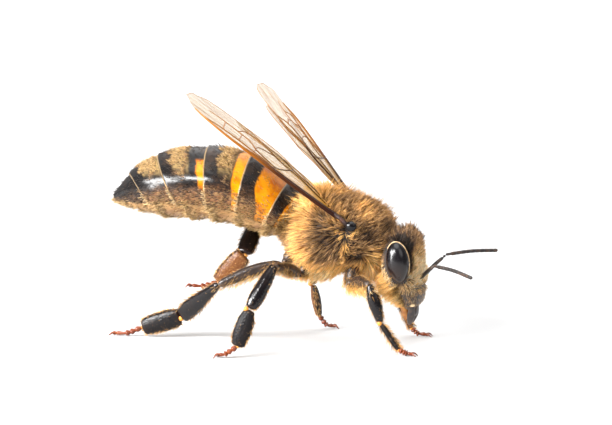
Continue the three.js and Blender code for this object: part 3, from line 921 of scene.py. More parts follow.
def markings(k, v, turn, wave):
    """Shares of orange, felt and pale rim on ring k, where turn is the angle from the top in
    turns and wave a little noise about zero. Takes sockets for the shell and arrays for the hair."""
    mark = MARKS[k]
    a = abs(turn) * 360
    edge = v + wave * 0.12
    orange, felt = 0.0, 0.0
    if mark["orange"]:
        edge_here = edge + step(a, 55, 105) * mark["narrow"]
        orange = 1 - step(edge_here, mark["orange"] - 0.03, mark["orange"] + 0.03)
        orange = orange * step(a, *mark["above"]) * (1 - step(a, *mark["below"]))
    if mark["felt"]:
        first, last = mark["felt"]
        felt = step(edge, first - 0.04, first + 0.04) * (1 - step(edge, last - 0.05, last + 0.03))
        felt = felt * (1 - step(a + wave * 30, mark["reach"] - 14, mark["reach"] + 10))
    return orange, felt, step(v + wave * 0.02, 0.955, 0.985)


def plate_paint(k, belly):
    """Banded shell of one ring, above or below."""
    paint = Paint(f"{'belly' if belly else 'back'}_ring_{k + 2}")
    v, turn = paint.lay("Y"), paint.lay("X")
    wave = paint.noise(3.0, 3) - 0.5
    orange, felt, rim = markings(k, v, turn, wave)
    a = abs(turn) * 360
    cloud = paint.noise(1.6, 4)
    fine = paint.noise(22.0, 2, stretch=(0.35, 1, 1))
    dark = paint.mix(step(cloud, 0.45, 0.8), BLACK, DARK_BROWN)
    flank = paint.mix(step(fine + wave * 0.6, 0.35, 0.7), (0.022, 0.012, 0.008), (0.32, 0.14, 0.055))
    lower = 62 if k < 3 else 78
    base = paint.mix(step(a + wave * 30, lower, 116) * (0.85 if k < LAST_ROW - 1 else 0.25), dark, flank)
    gold = paint.mix(step(cloud + wave, 0.25, 0.7), ORANGE, AMBER)
    gold = paint.mix(step(fine + wave * 0.8, 0.5, 0.75) * 0.45, gold, (0.2, 0.06, 0.01))
    gold = paint.mix(step(a, 85, 125) * 0.6, gold, (0.4, 0.17, 0.05))
    if belly:
        tan = paint.mix(step(cloud, 0.35, 0.7), (0.5, 0.28, 0.11), (0.3, 0.15, 0.06))
        base = paint.mix(step(v + wave * 0.2, 0.6, 0.85) * 0.7, tan, (0.12, 0.07, 0.04))
        gold = tan
    pale = paint.mix(step(fine, 0.3, 0.7), paint.shade(FELT, 0.55), FELT)
    colour = paint.mix(orange, base, gold)
    colour = paint.mix(felt, colour, pale)
    colour = paint.mix(rim * (0.25 + step(a, 60, 100) * 0.4), colour, CREAM)
    grain = paint.pits(26) * 0.4 + fine * (0.3 + felt * 2.0)
    rough = 0.14 + cloud * 0.08 + felt * 0.3 + step(a, 80, 115) * 0.2 + step(a, 60, 35) * 0.3
    return paint.surface(Base_Color=colour, Roughness=rough, Specular_IOR_Level=0.25,
                         Normal=paint.bump(grain, 0.005, 0.4))


def build_trunk():
    shell = mottled_paint("body_shell", BLACK, DARK_BROWN, 1.5, 3, (0.35, 0.7), 0.35, 0.25,
                          lambda paint: paint.bump(paint.pits(22), 0.02, 0.6))
    add_parts("thorax_skin", [tube_parts(THORAX_HULL.rings(84, 110))], shell, ["thorax"])
    skin = mottled_paint("ring_skin", (0.05, 0.03, 0.02), (0.16, 0.09, 0.05), 5.0, 2, (0.3, 0.7), 0.5)
    core = tube_parts(ABDOMEN_HULL.rings(120, 72, start=0.02, end=0.985, lift=-0.13))
    add_parts("abdomen_skin", [core], skin, [f"abdomen_{k + 1}" for k in range(LAST_ROW)])
    for k in range(LAST_ROW):
        tuck = -TUCK if k else 0.0
        back = sheet_parts(*plate_faces(k, -PLATE_SIDE, PLATE_SIDE, False, tuck))
        belly = sheet_parts(*plate_faces(k, BELLY_SIDE, 2 * math.pi - BELLY_SIDE, True, tuck))
        add_parts(f"ring_{k + 2}_back", [back], plate_paint(k, False))
        add_parts(f"ring_{k + 2}_belly", [belly], plate_paint(k, True))
    tegula = leg_paint("wing_base_plate", (0.003, 0.0025, 0.003), (0.012, 0.006, 0.004), 0.08, 0.32)
    for name, side in SIDES.items():
        plate = bead(on_side(TEGULA, side), (0.23, 0.17, 0.22), 20, 28)
        add_parts(f"tegula_{name}_plate", [plate], tegula, [f"tegula_{name}"])


# ---------------------------------------------------------------- wings

WINGS = {
    "right": {"root": (0.7, -1.62, 5.3), "along": (-0.74, -0.285, 0.61), "across": (-0.22, 0.96, 0.18)},
    "left": {"root": (0.7, 1.62, 5.3), "along": (-0.551, 0.695, 0.462), "across": (-0.453, -0.714, 0.533)},
}
WING_LONG = 8.1
MEMBRANE = 0.014

# Front and rear edge of each blade from root to tip: distance along the front edge, and back from it.
BLADES = {
    "forewing": ([[0.0, 0.2], [1.2, -0.06], [2.7, -0.12], [4.2, -0.1], [5.6, -0.04], [6.6, 0.07], [7.3, 0.26],
                  [7.85, 0.6], [8.18, 1.05]],
                 [[0.0, 0.2], [0.5, 0.62], [1.05, 0.92], [2.5, 1.55], [3.7, 2.2], [4.9, 2.7], [5.8, 2.88],
                  [6.6, 2.85], [7.3, 2.5], [7.85, 1.85], [8.18, 1.05]]),
    "hindwing": ([[0.3, 0.3], [1.5, 0.82], [2.5, 1.27], [3.6, 1.8], [4.6, 2.3], [5.3, 2.5], [5.55, 2.8]],
                 [[0.3, 0.3], [0.75, 1.02], [1.5, 1.75], [2.5, 2.42], [3.5, 2.88], [4.7, 3.1], [5.3, 3.02],
                  [5.55, 2.8]]),
}

# Veins: half width at each end in mm, then places as shares of the forewing's length, along and back.
FORE_VEINS = [
    (0.085, 0.026, [[0.01, 0.022], [0.08, -0.003], [0.2, -0.011], [0.4, -0.014], [0.6, -0.008],
                    [0.74, -0.002], [0.86, 0.022], [0.94, 0.06]]),
    (0.068, 0.038, [[0.01, 0.034], [0.1, 0.014], [0.25, 0.006], [0.42, 0.004], [0.56, 0.008], [0.62, 0.004]]),
    (0.03, 0.02, [[0.45, 0.008], [0.5, 0.03], [0.58, 0.05], [0.7, 0.06], [0.8, 0.055], [0.89, 0.038]]),
    (0.04, 0.025, [[0.02, 0.045], [0.12, 0.07], [0.24, 0.12], [0.34, 0.155]]),
    (0.025, 0.022, [[0.34, 0.155], [0.37, 0.11], [0.42, 0.06], [0.46, 0.01]]),
    (0.025, 0.018, [[0.34, 0.155], [0.44, 0.2], [0.55, 0.245], [0.6, 0.27], [0.61, 0.31]]),
    (0.035, 0.02, [[0.02, 0.055], [0.12, 0.1], [0.24, 0.165], [0.35, 0.215], [0.43, 0.25], [0.52, 0.3]]),
    (0.022, 0.022, [[0.335, 0.153], [0.33, 0.205]]),
    (0.02, 0.02, [[0.43, 0.05], [0.5, 0.075], [0.56, 0.09]]),
    (0.02, 0.014, [[0.56, 0.09], [0.62, 0.14], [0.7, 0.165], [0.78, 0.17], [0.86, 0.16]]),
    (0.018, 0.018, [[0.45, 0.2], [0.52, 0.17], [0.56, 0.11], [0.56, 0.09]]),
    (0.018, 0.018, [[0.56, 0.09], [0.575, 0.05]]),
    (0.018, 0.018, [[0.655, 0.15], [0.665, 0.06]]),
    (0.018, 0.018, [[0.76, 0.17], [0.765, 0.06]]),
    (0.018, 0.016, [[0.57, 0.255], [0.64, 0.22], [0.68, 0.16]]),
]
HIND_VEINS = [
    (0.035, 0.02, [[0.04, 0.045], [0.18, 0.105], [0.31, 0.162], [0.45, 0.23], [0.57, 0.29], [0.65, 0.325]]),
    (0.025, 0.012, [[0.05, 0.06], [0.2, 0.13], [0.34, 0.2], [0.46, 0.27], [0.56, 0.325]]),
    (0.022, 0.012, [[0.05, 0.075], [0.15, 0.15], [0.27, 0.235], [0.37, 0.305]]),
    (0.016, 0.016, [[0.34, 0.2], [0.36, 0.178]]),
    (0.016, 0.012, [[0.46, 0.27], [0.47, 0.24]]),
]
VEIN_GIRTH = 1.2
EDGE_VEIN, EDGE_STEPS = 0.014, 60
VEIN_SIDES = 8

# Shades of the veins from the wing's root to its tip.
VEIN_SHADES = [(0.0, (0.018, 0.006, 0.005)), (0.42, (0.05, 0.014, 0.003)), (0.6, (0.24, 0.075, 0.008)),
               (0.85, (0.34, 0.13, 0.03)), (1.0, (0.44, 0.22, 0.08))]


class Wing:
    """The wings of one side, in which places are millimetres along the front edge and back from it."""

    def __init__(self, root, along, across):
        self.root, self.along = np.array(root), unit(along)
        across = np.array(across) - (np.array(across) @ self.along) * self.along
        self.across = unit(across)
        up = np.cross(self.along, self.across)
        self.up = up * np.sign(up[2])

    def point(self, places, lift=0.0):
        x, y = places[..., 0], places[..., 1]
        share = np.clip(x / WING_LONG, 0, 1)
        camber = 0.1 * np.sin(np.clip(y / 2.8, 0, 1) * math.pi) * (0.4 + share) - 0.09 * share**2
        folds = 0.025 * np.sin(y * 7.0 + 1.6 * share) * step(share, 0.05, 0.4)
        rise = camber + folds + lift
        return self.root + x[..., None] * self.along + y[..., None] * self.across + rise[..., None] * self.up


def blade_parts(wing, front, rear, lift, rows=90, columns=40):
    """A wing's membrane as a thin closed sheet. Its map is in shares of the wing's length."""
    t = 0.5 - 0.5 * np.cos(np.linspace(0.05, math.pi - 0.05, rows))
    share = np.linspace(0, 1, columns)[None, :, None]
    places = spline(front, t)[:, None] * (1 - share) + spline(rear, t)[:, None] * share
    over, below = wing.point(places, lift + MEMBRANE), wing.point(places, lift)
    grid = places[..., ::-1] / WING_LONG
    facing_up = np.cross(wing.across, wing.along) @ wing.up > 0
    return sheet_parts(over, below, grid) if facing_up else sheet_parts(below, over, grid)


def membrane_paint():
    """Clear film with streaks along it, more amber and denser at its base and front edge."""
    paint = Paint("wing_membrane")
    x, y = paint.lay("Y"), paint.lay("X")
    spot = paint.node("ShaderNodeCombineXYZ", None, {0: x, 1: y})
    ray = paint.node("ShaderNodeMapping", None, {"Vector": spot, "Scale": (4.0, 90.0, 1.0)})
    streak = paint.node("ShaderNodeTexNoise", None, {"Vector": ray, "Scale": 1.0, "Detail": 3.0})
    base = 1 - step(x, 0.05, 0.62)
    front = 1 - step(y, 0.0, 0.035)
    colour = paint.mix(step(streak, 0.3, 0.6), (0.56, 0.4, 0.17), (0.34, 0.18, 0.04))
    colour = paint.mix(base, colour, (0.42, 0.2, 0.004))
    alpha = 0.36 + base * 0.26 + front * 0.25 + step(streak, 0.5, 0.64) * 0.26
    return paint.surface(Base_Color=colour, Roughness=0.3, Specular_IOR_Level=0.05, Alpha=alpha,
                         Normal=paint.bump(streak, 0.02, 0.5))


def vein_paint():
    paint = Paint("wing_vein")
    colour = paint.node("ShaderNodeValToRGB", {"stops": VEIN_SHADES}, {"Fac": paint.attribute("reach")})
    return paint.surface(Base_Color=colour, Roughness=0.4, Specular_IOR_Level=0.08)


def tube_tree():
    """Geometry Nodes that turn lines into tubes as thick as their points' radius says."""
    tree = bpy.data.node_groups.new("tubes_on_lines", "GeometryNodeTree")
    for label, kind in (("Geometry", "Geometry"), ("Sides", "Int"), ("Material", "Material")):
        tree.interface.new_socket(label, in_out="INPUT", socket_type=f"NodeSocket{kind}")
    tree.interface.new_socket("Geometry", in_out="OUTPUT", socket_type="NodeSocketGeometry")
    given, result = tree.nodes.new("NodeGroupInput"), tree.nodes.new("NodeGroupOutput")

    def node(kind, settings=None, **inputs):
        made = tree.nodes.new(kind)
        for key, value in (settings or {}).items():
            setattr(made, key, value)
        for key, value in inputs.items():
            socket = made.inputs[key.replace("_", " ")]
            if isinstance(value, bpy.types.NodeSocket):
                tree.links.new(value, socket)
            else:
                socket.default_value = value
        return made

    wide = node("GeometryNodeInputNamedAttribute", {"data_type": "FLOAT"}, Name="wide")
    curve = node("GeometryNodeMeshToCurve", None, Mesh=given.outputs["Geometry"])
    profile = node("GeometryNodeCurvePrimitiveCircle", None, Resolution=given.outputs["Sides"], Radius=1.0)
    tube = node("GeometryNodeCurveToMesh", None, Curve=curve.outputs[0], Profile_Curve=profile.outputs[0],
                Fill_Caps=True, Scale=wide.outputs[0])
    smooth = node("GeometryNodeSetShadeSmooth", None, Geometry=tube.outputs[0])
    real = node("GeometryNodeRealizeInstances", None, Geometry=smooth.outputs[0])
    finish = node("GeometryNodeSetMaterial", None, Geometry=real.outputs[0],
                  Material=given.outputs["Material"])
    tree.links.new(finish.outputs[0], result.inputs[0])
    return tree


def tubes_on_lines(name, lines, sides, material, tree):
    """One piece of tubes. Each line is (points, half widths, how far out each point is)."""
    points, wide, reach = (np.concatenate([line[k] for line in lines]) for k in range(3))
    edges, start = [], 0
    for line in lines:
        steps = np.arange(len(line[0]) - 1) + start
        edges.append(np.stack([steps, steps + 1], -1))
        start += len(line[0])
    mesh = bpy.data.meshes.new(f"{name}_lines")
    mesh.from_pydata(to_part(points).tolist(), np.vstack(edges).tolist(), [])
    for label, values in (("wide", wide * MM), ("reach", reach)):
        mesh.attributes.new(label, "FLOAT", "POINT").data.foreach_set("value", values.astype(np.float32))
    guide = add_object(f"{name}_guide", mesh)
    modifier = guide.modifiers.new("tubes", "NODES")
    modifier.node_group = tree
    inputs = {item.name: item.identifier for item in tree.interface.items_tree if item.in_out == "INPUT"}
    modifier[inputs["Sides"]] = sides
    modifier[inputs["Material"]] = material
    guide.update_tag()
    bpy.context.view_layer.update()
    made = bpy.data.meshes.new_from_object(guide.evaluated_get(bpy.context.evaluated_depsgraph_get()))
    made.name = name
    bpy.data.objects.remove(guide)
    return finish_piece(add_object(name, made), material)


def hinge_parts(wing, side):
    """The small plates between a wing's root and its base plate."""
    plate = on_side(TEGULA, side)
    socket = wing.point(np.array([0.75, 0.12]))
    sizes = [0.08, 0.09, 0.08, 0.05]
    arm = [plate + (-0.12, 0, 0.02), (plate + socket) / 2, socket]
    return [limb(arm, sizes, sizes, (0, side, 0.3), 16, 12),
            bead(wing.point(np.array([0.2, 0.35])), (0.22, 0.12, 0.16))]


def vein_lines(wing, veins, rear, height):
    """Lines for a blade's veins and its rear edge, halfway through its membrane."""
    lines = []
    for first, last, places in veins:
        t = np.linspace(0, 1, 6 * len(places))
        run = spline(np.array(places) * WING_LONG, t)
        halves = VEIN_GIRTH * (first + (last - first) * t)
        lines.append((wing.point(run, height), halves, run[:, 0] / WING_LONG))
    edge = spline(rear, np.linspace(0.05, 0.99, EDGE_STEPS))
    halves = np.full(EDGE_STEPS, EDGE_VEIN)
    lines.append((wing.point(edge, height), halves, 0.5 + 0.5 * edge[:, 0] / WING_LONG))
    return lines


def build_wings():
    skin, vein, tree = membrane_paint(), vein_paint(), tube_tree()
    horn = leg_paint("wing_hinge", (0.014, 0.006, 0.005), (0.1, 0.03, 0.01), 0.3, 0.25)
    for name, sizes in WINGS.items():
        wing = Wing(**sizes)
        add_parts(f"wing_hinge_{name}", hinge_parts(wing, SIDES[name]), horn)
        for blade, veins, lift in (("forewing", FORE_VEINS, 0.0), ("hindwing", HIND_VEINS, -0.04)):
            front, rear = BLADES[blade]
            add_parts(f"{blade}_{name}_membrane", [blade_parts(wing, front, rear, lift)], skin,
                      [f"{blade}_{name}"])
            lines = vein_lines(wing, veins, rear, lift + MEMBRANE / 2)
            tubes_on_lines(f"{blade}_{name}_veins", lines, VEIN_SIDES, vein, tree)


# ---------------------------------------------------------------- coat

# A hair has rings at these shares of its length, with these shares of its width, and then its tip.
HAIR_STEPS = np.array([0.0, 0.4, 0.75])
HAIR_TAPER = np.array([1.0, 0.9, 0.6])
HAIR_SIDES = 3
HAIRS_IN_PIECE = 12400
HAIR_PATCH = 0.003
TUFT, TUFT_REACH = 9, 0.5
GUARD_SHARE = 0.14
THINNED = 1

# Numbers of hairs, and a seed for each coat.
THORAX_HAIRS, HEAD_HAIRS, ORBIT_HAIRS, BEARD_HAIRS = 33000, 10500, 1900, 4200
BACK_HAIRS, BELLY_HAIRS = (2600, 1500, 4200, 4800, 4200, 700), 700
THIGH_HAIRS = {"front": 800, "middle": 420, "hind": 420}
SHIN_HAIRS = {"front": 920, "middle": 920, "hind": 420}
BRUSH_HAIRS = {"front": 1000, "middle": 1000, "hind": 2200}
THORAX_SEED, BACK_SEED, BELLY_SEED, HEAD_SEED, ORBIT_SEED, BEARD_SEED = 11, 31, 51, 71, 75, 79
LEG_SEEDS = {"right": 90, "left": 140}

# Shades of hair from 0 to 1, as stops of a ramp: the body's, the head's and the abdomen's.
HAIR_SHADES = [(0.0, (0.012, 0.008, 0.007)), (0.2, (0.07, 0.038, 0.022)), (0.4, (0.46, 0.25, 0.1)),
               (0.5, (0.7, 0.38, 0.14)), (0.6, (0.9, 0.46, 0.12)), (0.8, (0.96, 0.58, 0.19)),
               (1.0, (1.0, 0.82, 0.48))]
HEAD_SHADES = [(0.0, (0.01, 0.007, 0.006)), (0.25, (0.07, 0.045, 0.03)), (0.45, (0.36, 0.2, 0.1)),
               (0.65, (0.88, 0.5, 0.18)), (0.85, (1.0, 0.73, 0.34)), (1.0, (1.0, 0.92, 0.7))]
FELT_SHADES = [(0.0, (0.012, 0.008, 0.007)), (0.25, (0.05, 0.03, 0.02)), (0.5, (0.32, 0.18, 0.085)),
               (0.7, (0.43, 0.27, 0.1)), (1.0, (0.76, 0.55, 0.3))]


def coat_paint(name, shades, root=0.16):
    """Hair, darker at its root, where it has that share of its colour. Each hair carries its own
    shade and tone."""
    paint = Paint(name)
    colour = paint.node("ShaderNodeValToRGB", {"stops": shades}, {"Fac": paint.attribute("hue")})
    strength = paint.attribute("tone") * (root + (1 - root) * step(paint.attribute("out"), 0.0, 0.75))
    return paint.surface(Base_Color=paint.shade(colour, strength), Roughness=0.42, Specular_IOR_Level=0.3)


def clouds(points, size, seed):
    """Smooth noise from 0 to 1 with blobs about that many millimetres across."""
    rng = np.random.default_rng(seed)
    waves, total = 5, 0
    for _ in range(waves):
        way = unit(rng.normal(size=3)) * rng.uniform(0.7, 1.4) * math.pi / size
        total = total + np.sin(points @ way + rng.uniform(0, 2 * math.pi))
    return np.clip(0.5 + total / waves, 0, 1)


def roots_on(part, count, density, seed, cell=(0, 1)):
    """Random roots for hairs on a part's quads. density takes places, normals and map, and gives
    relative numbers to the square mm. cell says which of how many strips of the map the part has."""
    points, (quads, _), corner_map = part
    corners = points[quads]
    maps = corner_map[:quads.size].reshape(-1, 4, 2)
    across, ahead = corners[:, 1] - corners[:, 0], corners[:, 3] - corners[:, 0]
    normal = np.cross(across, ahead)
    weight = np.linalg.norm(normal, axis=-1) * density(corners.mean(1), unit(normal), maps.mean(1))
    rng = np.random.default_rng(seed)
    count = count // THINNED
    pick = rng.choice(len(quads), count, p=weight / weight.sum())
    u, w = rng.random((2, count, 1))

    def inside(values):
        a, b, c, d = (values[pick, j] for j in range(4))
        return (a * (1 - u) + b * u) * (1 - w) + (d * (1 - u) + c * u) * w

    place = inside(maps)
    patch = np.stack([(cell[0] + np.mod(place[:, 0], 1)) / cell[1], np.clip(place[:, 1], 0, 1)], -1)
    return {"point": inside(corners), "normal": unit(normal)[pick], "ahead": unit(ahead)[pick], "map": place,
            "patch": patch, "rng": rng}


def comb(roots, lie, stand, length, hue, width=0.012, bend=0.5, stray=0.16, clump=0.4):
    """Hairs on roots. lie is the way along the skin that they point, stand how far they stand off it
    from 0 to 1, bend how much they sink towards it, stray how unruly they are and clump how much
    they gather into tufts."""
    rng, normal, count = roots["rng"], roots["normal"], len(roots["point"])
    lie = np.broadcast_to(lie, normal.shape)
    lie = unit(lie - np.sum(lie * normal, -1, keepdims=True) * normal)
    stand = np.broadcast_to(stand, count)[:, None]
    sink = stand * (1 - bend)
    wild = rng.normal(size=(count, 3)) * stray
    head = unit(normal * stand + lie * (1 - stand) + wild * 0.6)
    lean = unit(normal * sink + lie * (1 - sink) + wild + rng.normal(size=(count, 3)) * stray)
    side = unit(np.cross(head, rng.normal(size=(count, 3))))
    return {"point": roots["point"] - 0.02 * normal, "head": head, "lean": lean, "side": side,
            "length": length * rng.uniform(0.5, 1.15, count), "width": width * rng.uniform(0.75, 1.25, count),
            "hue": np.clip(hue + rng.normal(size=count) * 0.07, 0, 1), "tone": rng.uniform(0.55, 1.45, count),
            "clump": np.full(count, clump), "patch": roots["patch"]}


def undercoat(hairs, share, short, dark):
    """Makes a share of the hairs shorter and darker. dark may be a number for each hair."""
    under = np.arange(len(hairs["hue"])) % 100 < 100 * share
    hairs["length"] = np.where(under, hairs["length"] * short, hairs["length"])
    hairs["hue"] = np.where(under, np.maximum(hairs["hue"] - dark, 0), hairs["hue"])
    return hairs


def guard_hairs(hairs, rng, longer, thinner):
    """Makes a few of the hairs longer and thinner, and leaves them out of the tufts."""
    guard = rng.random(len(hairs["hue"])) < GUARD_SHARE
    for key, share in (("length", longer), ("width", thinner), ("clump", 0.2)):
        hairs[key] = np.where(guard, hairs[key] * share, hairs[key])
    return hairs


def merge(*sets):
    return {key: np.concatenate([hairs[key] for hairs in sets]) for key in sets[0]}


def gather(hairs, lines):
    """Pulls each hair's outer part towards the nearest of a few chosen hairs."""
    centres = np.arange(0, len(lines), TUFT)
    tree = kdtree.KDTree(len(centres))
    for order, index in enumerate(centres):
        tree.insert(hairs["point"][index], order)
    tree.balance()
    near = centres[[tree.find(point)[1] for point in hairs["point"]]]
    hairs["tone"] = 0.55 * hairs["tone"] + 0.45 * hairs["tone"][near]
    pull = (lines[near] - hairs["point"][near][:, None]) - (lines - hairs["point"][:, None])
    shift = hairs["point"][near] - hairs["point"]
    reach = np.append(HAIR_STEPS, 1.0)[None, :, None] ** 1.6 * hairs["clump"][:, None, None]
    apart = np.linalg.norm(shift, axis=-1)[:, None, None]
    return lines + (shift[:, None] + pull) * reach * (apart < TUFT_REACH)


def hair_faces():
    """The quads and triangles of one hair of ten points, how far out each point is, and its place
    in the hair's patch of the map."""
    quads = np.array([[k + j, k + (j + 1) % 3, k + 3 + (j + 1) % 3, k + 3 + j]
                      for k in (0, 3) for j in range(3)])
    tips = np.array([[6, 7, 9], [7, 8, 9], [8, 6, 9], [2, 1, 0]])
    out = np.append(np.repeat(HAIR_STEPS, HAIR_SIDES), 1.0)
    spot = np.stack([np.append(np.tile(np.arange(3) / 3, 3), 0.33), out], -1) * HAIR_PATCH
    return quads, tips, out, spot


def add_coat(name, hairs, material):
    """Solid hairs as one or more pieces: three sides, three rings and a point each."""
    t = np.append(HAIR_STEPS, 1.0)[None, :, None]
    head, lean = hairs["head"][:, None], hairs["lean"][:, None]
    lines = hairs["point"][:, None] + hairs["length"][:, None, None] * (head * t + 0.5 * (lean - head) * t**2)
    lines = gather(hairs, lines)
    turns = circle(HAIR_SIDES)[None, :, None]
    other = np.cross(hairs["head"], hairs["side"])
    spokes = hairs["side"][:, None] * np.cos(turns) + other[:, None] * np.sin(turns)
    girth = hairs["width"][:, None] * HAIR_TAPER[None, :]
    rings = lines[:, :3, None] + spokes[:, None] * girth[:, :, None, None]
    points = np.concatenate([rings.reshape(-1, 9, 3), lines[:, 3:]], 1)
    quads, tips, out, spot = hair_faces()
    each = len(out)
    pieces = max(1, math.ceil(len(points) / HAIRS_IN_PIECE))
    for number, pick in enumerate(np.array_split(np.arange(len(points)), pieces)):
        count = len(pick)
        start = np.arange(count)[:, None, None] * each
        faces = [(quads + start).reshape(-1, 4), (tips + start).reshape(-1, 3)]
        patch = hairs["patch"][pick][:, None] * (1 - HAIR_PATCH)
        bake = np.vstack([(patch + spot[part.ravel()]).reshape(-1, 2) for part in (quads, tips)])
        values = {"out": np.tile(out, count)}
        values |= {key: np.repeat(hairs[key][pick], each) for key in ("hue", "tone")}
        label = name if pieces == 1 else f"{name}_{number + 1}"
        piece = make_mesh(label, points[pick].reshape(-1, 3), faces, {"OFBake": bake}, values)
        finish_piece(piece, material)


def add_coat_by_side(name, hairs, material, masks):
    for label, mask in masks:
        add_coat(f"{name}_{label}", {key: value[mask] for key, value in hairs.items()}, material)


def blend(base, *layers):
    """Moves from base to each layer's value by that layer's share, in turn."""
    for share, value in layers:
        base = base + (value - base) * share
    return base


def toward(lie, *pulls):
    """Adds to each hair's way some other ways, each by its own share."""
    for share, way in pulls:
        lie = lie + share[:, None] * np.array(way)
    return lie


def side_lie(place):
    """The way the hair lies on the side of the thorax: it fans out below the wing root, and points
    up and ahead in front of a line down from there. Also how far places are from that line."""
    x, y, z = place.T
    fan = unit(np.stack([x - 0.95, 0 * y, 0.6 * (z - 5.1)], -1))
    front = step(x - 0.12 * (z - 4.0), 0.62, 0.84)[:, None]
    return fan * (1 - front) + front * np.array([0.75, 0, 0.6]), np.hypot(x - 0.72, z - np.clip(z, 3.5, 4.4))


def from_middle(place, middle):
    """Places from a middle that is given for the left side, with both sides folded onto that one."""
    x, y, z = place.T
    return np.stack([x - middle[0], np.abs(y) - middle[1], z - middle[2]], -1)


def from_tegula(place):
    return np.linalg.norm(from_middle(place, TEGULA), axis=-1)


def thorax_coat(material):
    part = tube_parts(THORAX_HULL.rings(150, 200))

    def density(place, normal, _):
        x = place[:, 0]
        crown = step(normal[:, 2], 0.75, 0.98) * step(1.2 - np.abs(x + 0.1), 0, 0.6)
        core = 1 - step(side_lie(place)[1], 0.3, 0.9)
        waist = step(-x, 1.5, 1.9)
        return step(from_tegula(place), 0.2, 0.32) * (1 - 0.4 * crown) * (1 - 0.7 * waist) * (1 - 0.25 * core)

    roots = roots_on(part, THORAX_HAIRS, density, THORAX_SEED)
    x, y, z = roots["point"].T
    up = roots["normal"][:, 2]
    away = from_tegula(roots["point"])
    lie, spread = side_lie(roots["point"])
    top, under = step(up, 0.2, 0.75), step(-up, 0.45, 0.85)
    behind = step(-x, 0.0, 0.7) * (1 - top) * (1 - under) * step(z, 3.5, 4.2)
    low = step(4.0 - z, 0, 0.8)
    core = (1 - step(spread, 0.5, 1.2)) * step(4.8 - z, 0, 0.3)
    seam = (1 - step(spread, 0.05, 0.13)) * step(z, 3.6, 3.9)
    ahead, rear = step(x, 1.0, 1.8), step(-x, -0.2, 1.0)
    near = 1 - step(away, 0.3, 0.6)
    below_plate = (1 - step(away, 0.45, 0.8)) * step(TEGULA[2] - 0.15 - z, 0, 0.2)
    ruff = step(x, 1.2, 1.7) * step(4.4 - z, 0, 0.6)
    waist = step(-x, 0.6, 1.4) * (1 - top)
    lie = toward(lie * (1 - np.maximum(top, under))[:, None],
                 (top * (1 - rear), (0.6, 0, 0.3)), (top * rear, (-0.5, 0, 0.3)), (under, (-0.8, 0, -0.3)),
                 (behind, (-0.9, 0, -0.25)), (low, (-0.3, 0, -0.6)), (ruff, (1.1, 0, -1.5)))
    length = blend(0.6, (top, 0.57), (behind, 1.15), (low, 0.95), (waist, 0.5), (core, 0.5),
                   (ahead * (1 - low), 0.5), (near, 0.3), (below_plate, 0.26), (ruff, 1.3))
    stand = blend(0.5, (top, 0.76), (behind, 0.34), (low, 0.36), (core, 0.42), (seam, 0.8), (near, 0.42),
                  (ruff, 0.4))
    hue = blend(0.4, (core, 0.26), (ahead, 0.34), (top, 0.44), (top * rear, 0.84), (behind, 0.66),
                (waist, 0.46), (low * (1 - waist), 0.82), (near, 0.28), (seam, 0.5), (below_plate, 0.84),
                (ruff, 0.78))
    hue = hue + (clouds(roots["point"], 0.5, 5) - 0.5) * 0.22
    hairs = comb(roots, lie, stand, length, hue, width=0.011, bend=0.3, stray=0.15, clump=0.5)
    hairs = guard_hairs(hairs, roots["rng"], 1.3 + 0.35 * top, 0.6)
    bright = np.maximum(np.maximum(behind, low), top)
    hairs = undercoat(hairs, 0.5, 0.6, 0.3 - 0.2 * bright)
    back = up > 0.5
    add_coat_by_side("thorax_hair", hairs, material,
                     (("back", back), ("right", ~back & (y < 0)), ("left", ~back & (y >= 0))))


def back_hair(k):
    """Hair on the back plate of ring k: felt in its band, and sparse short hair elsewhere."""
    outer, _, grid = plate_faces(k, -PLATE_SIDE, PLATE_SIDE, False, 0.02, 60, 150)

    def traits(place, spot):
        turn = (spot[:, 0] + 0.5) % 1 - 0.5
        orange, felt, _ = markings(k, spot[:, 1], turn, clouds(place, 0.35, 3) - 0.5)
        a = np.abs(turn) * 360
        fringe = step(spot[:, 1], 0.86, 0.92) * (1 - step(spot[:, 1], 0.97, 0.99)) * step(a, 76, 96)
        return orange, felt, a, fringe

    def density(place, _, spot):
        orange, felt, a, fringe = traits(place, spot)
        first = (k == 0) * 0.5 * (1 - step(spot[:, 1], 0.35, 0.55))
        bare = step(spot[:, 1], 0.9, 0.95)
        return (0.045 + felt + 0.13 * step(a, 74, 92) + first - 0.03 * orange) * (1 - bare) + fringe * 0.32

    roots = roots_on(skin_part(outer, grid), BACK_HAIRS[k], density, BACK_SEED + k, (k, LAST_ROW))
    orange, felt, a, fringe = traits(roots["point"], roots["map"])
    flank = step(a, 70, 95) if k < 3 else step(a, 76, 108)
    flank_hue = (0.62, 0.6, 0.56, 0.56, 0.56, 0.3)[k]
    long_base = (k == 0) * (1 - step(roots["map"][:, 1], 0.3, 0.6))
    length = blend(0.2, (flank, 0.24), (felt, 0.16), (long_base, 0.46))
    hue = blend(0.16, (flank, flank_hue), (orange, 0.6), (felt, 0.67), (long_base, 0.68), (fringe, 0.9))
    stand = blend(0.3, (flank, 0.34), (felt, 0.2), (long_base, 0.55))
    tall = roots["rng"].random(len(length)) < 0.1
    length, stand = np.where(tall, length + 0.1, length), np.where(tall, 0.6, stand)
    return comb(roots, roots["ahead"], stand, length, hue, width=0.0105, bend=0.55, stray=0.2, clump=0.25)


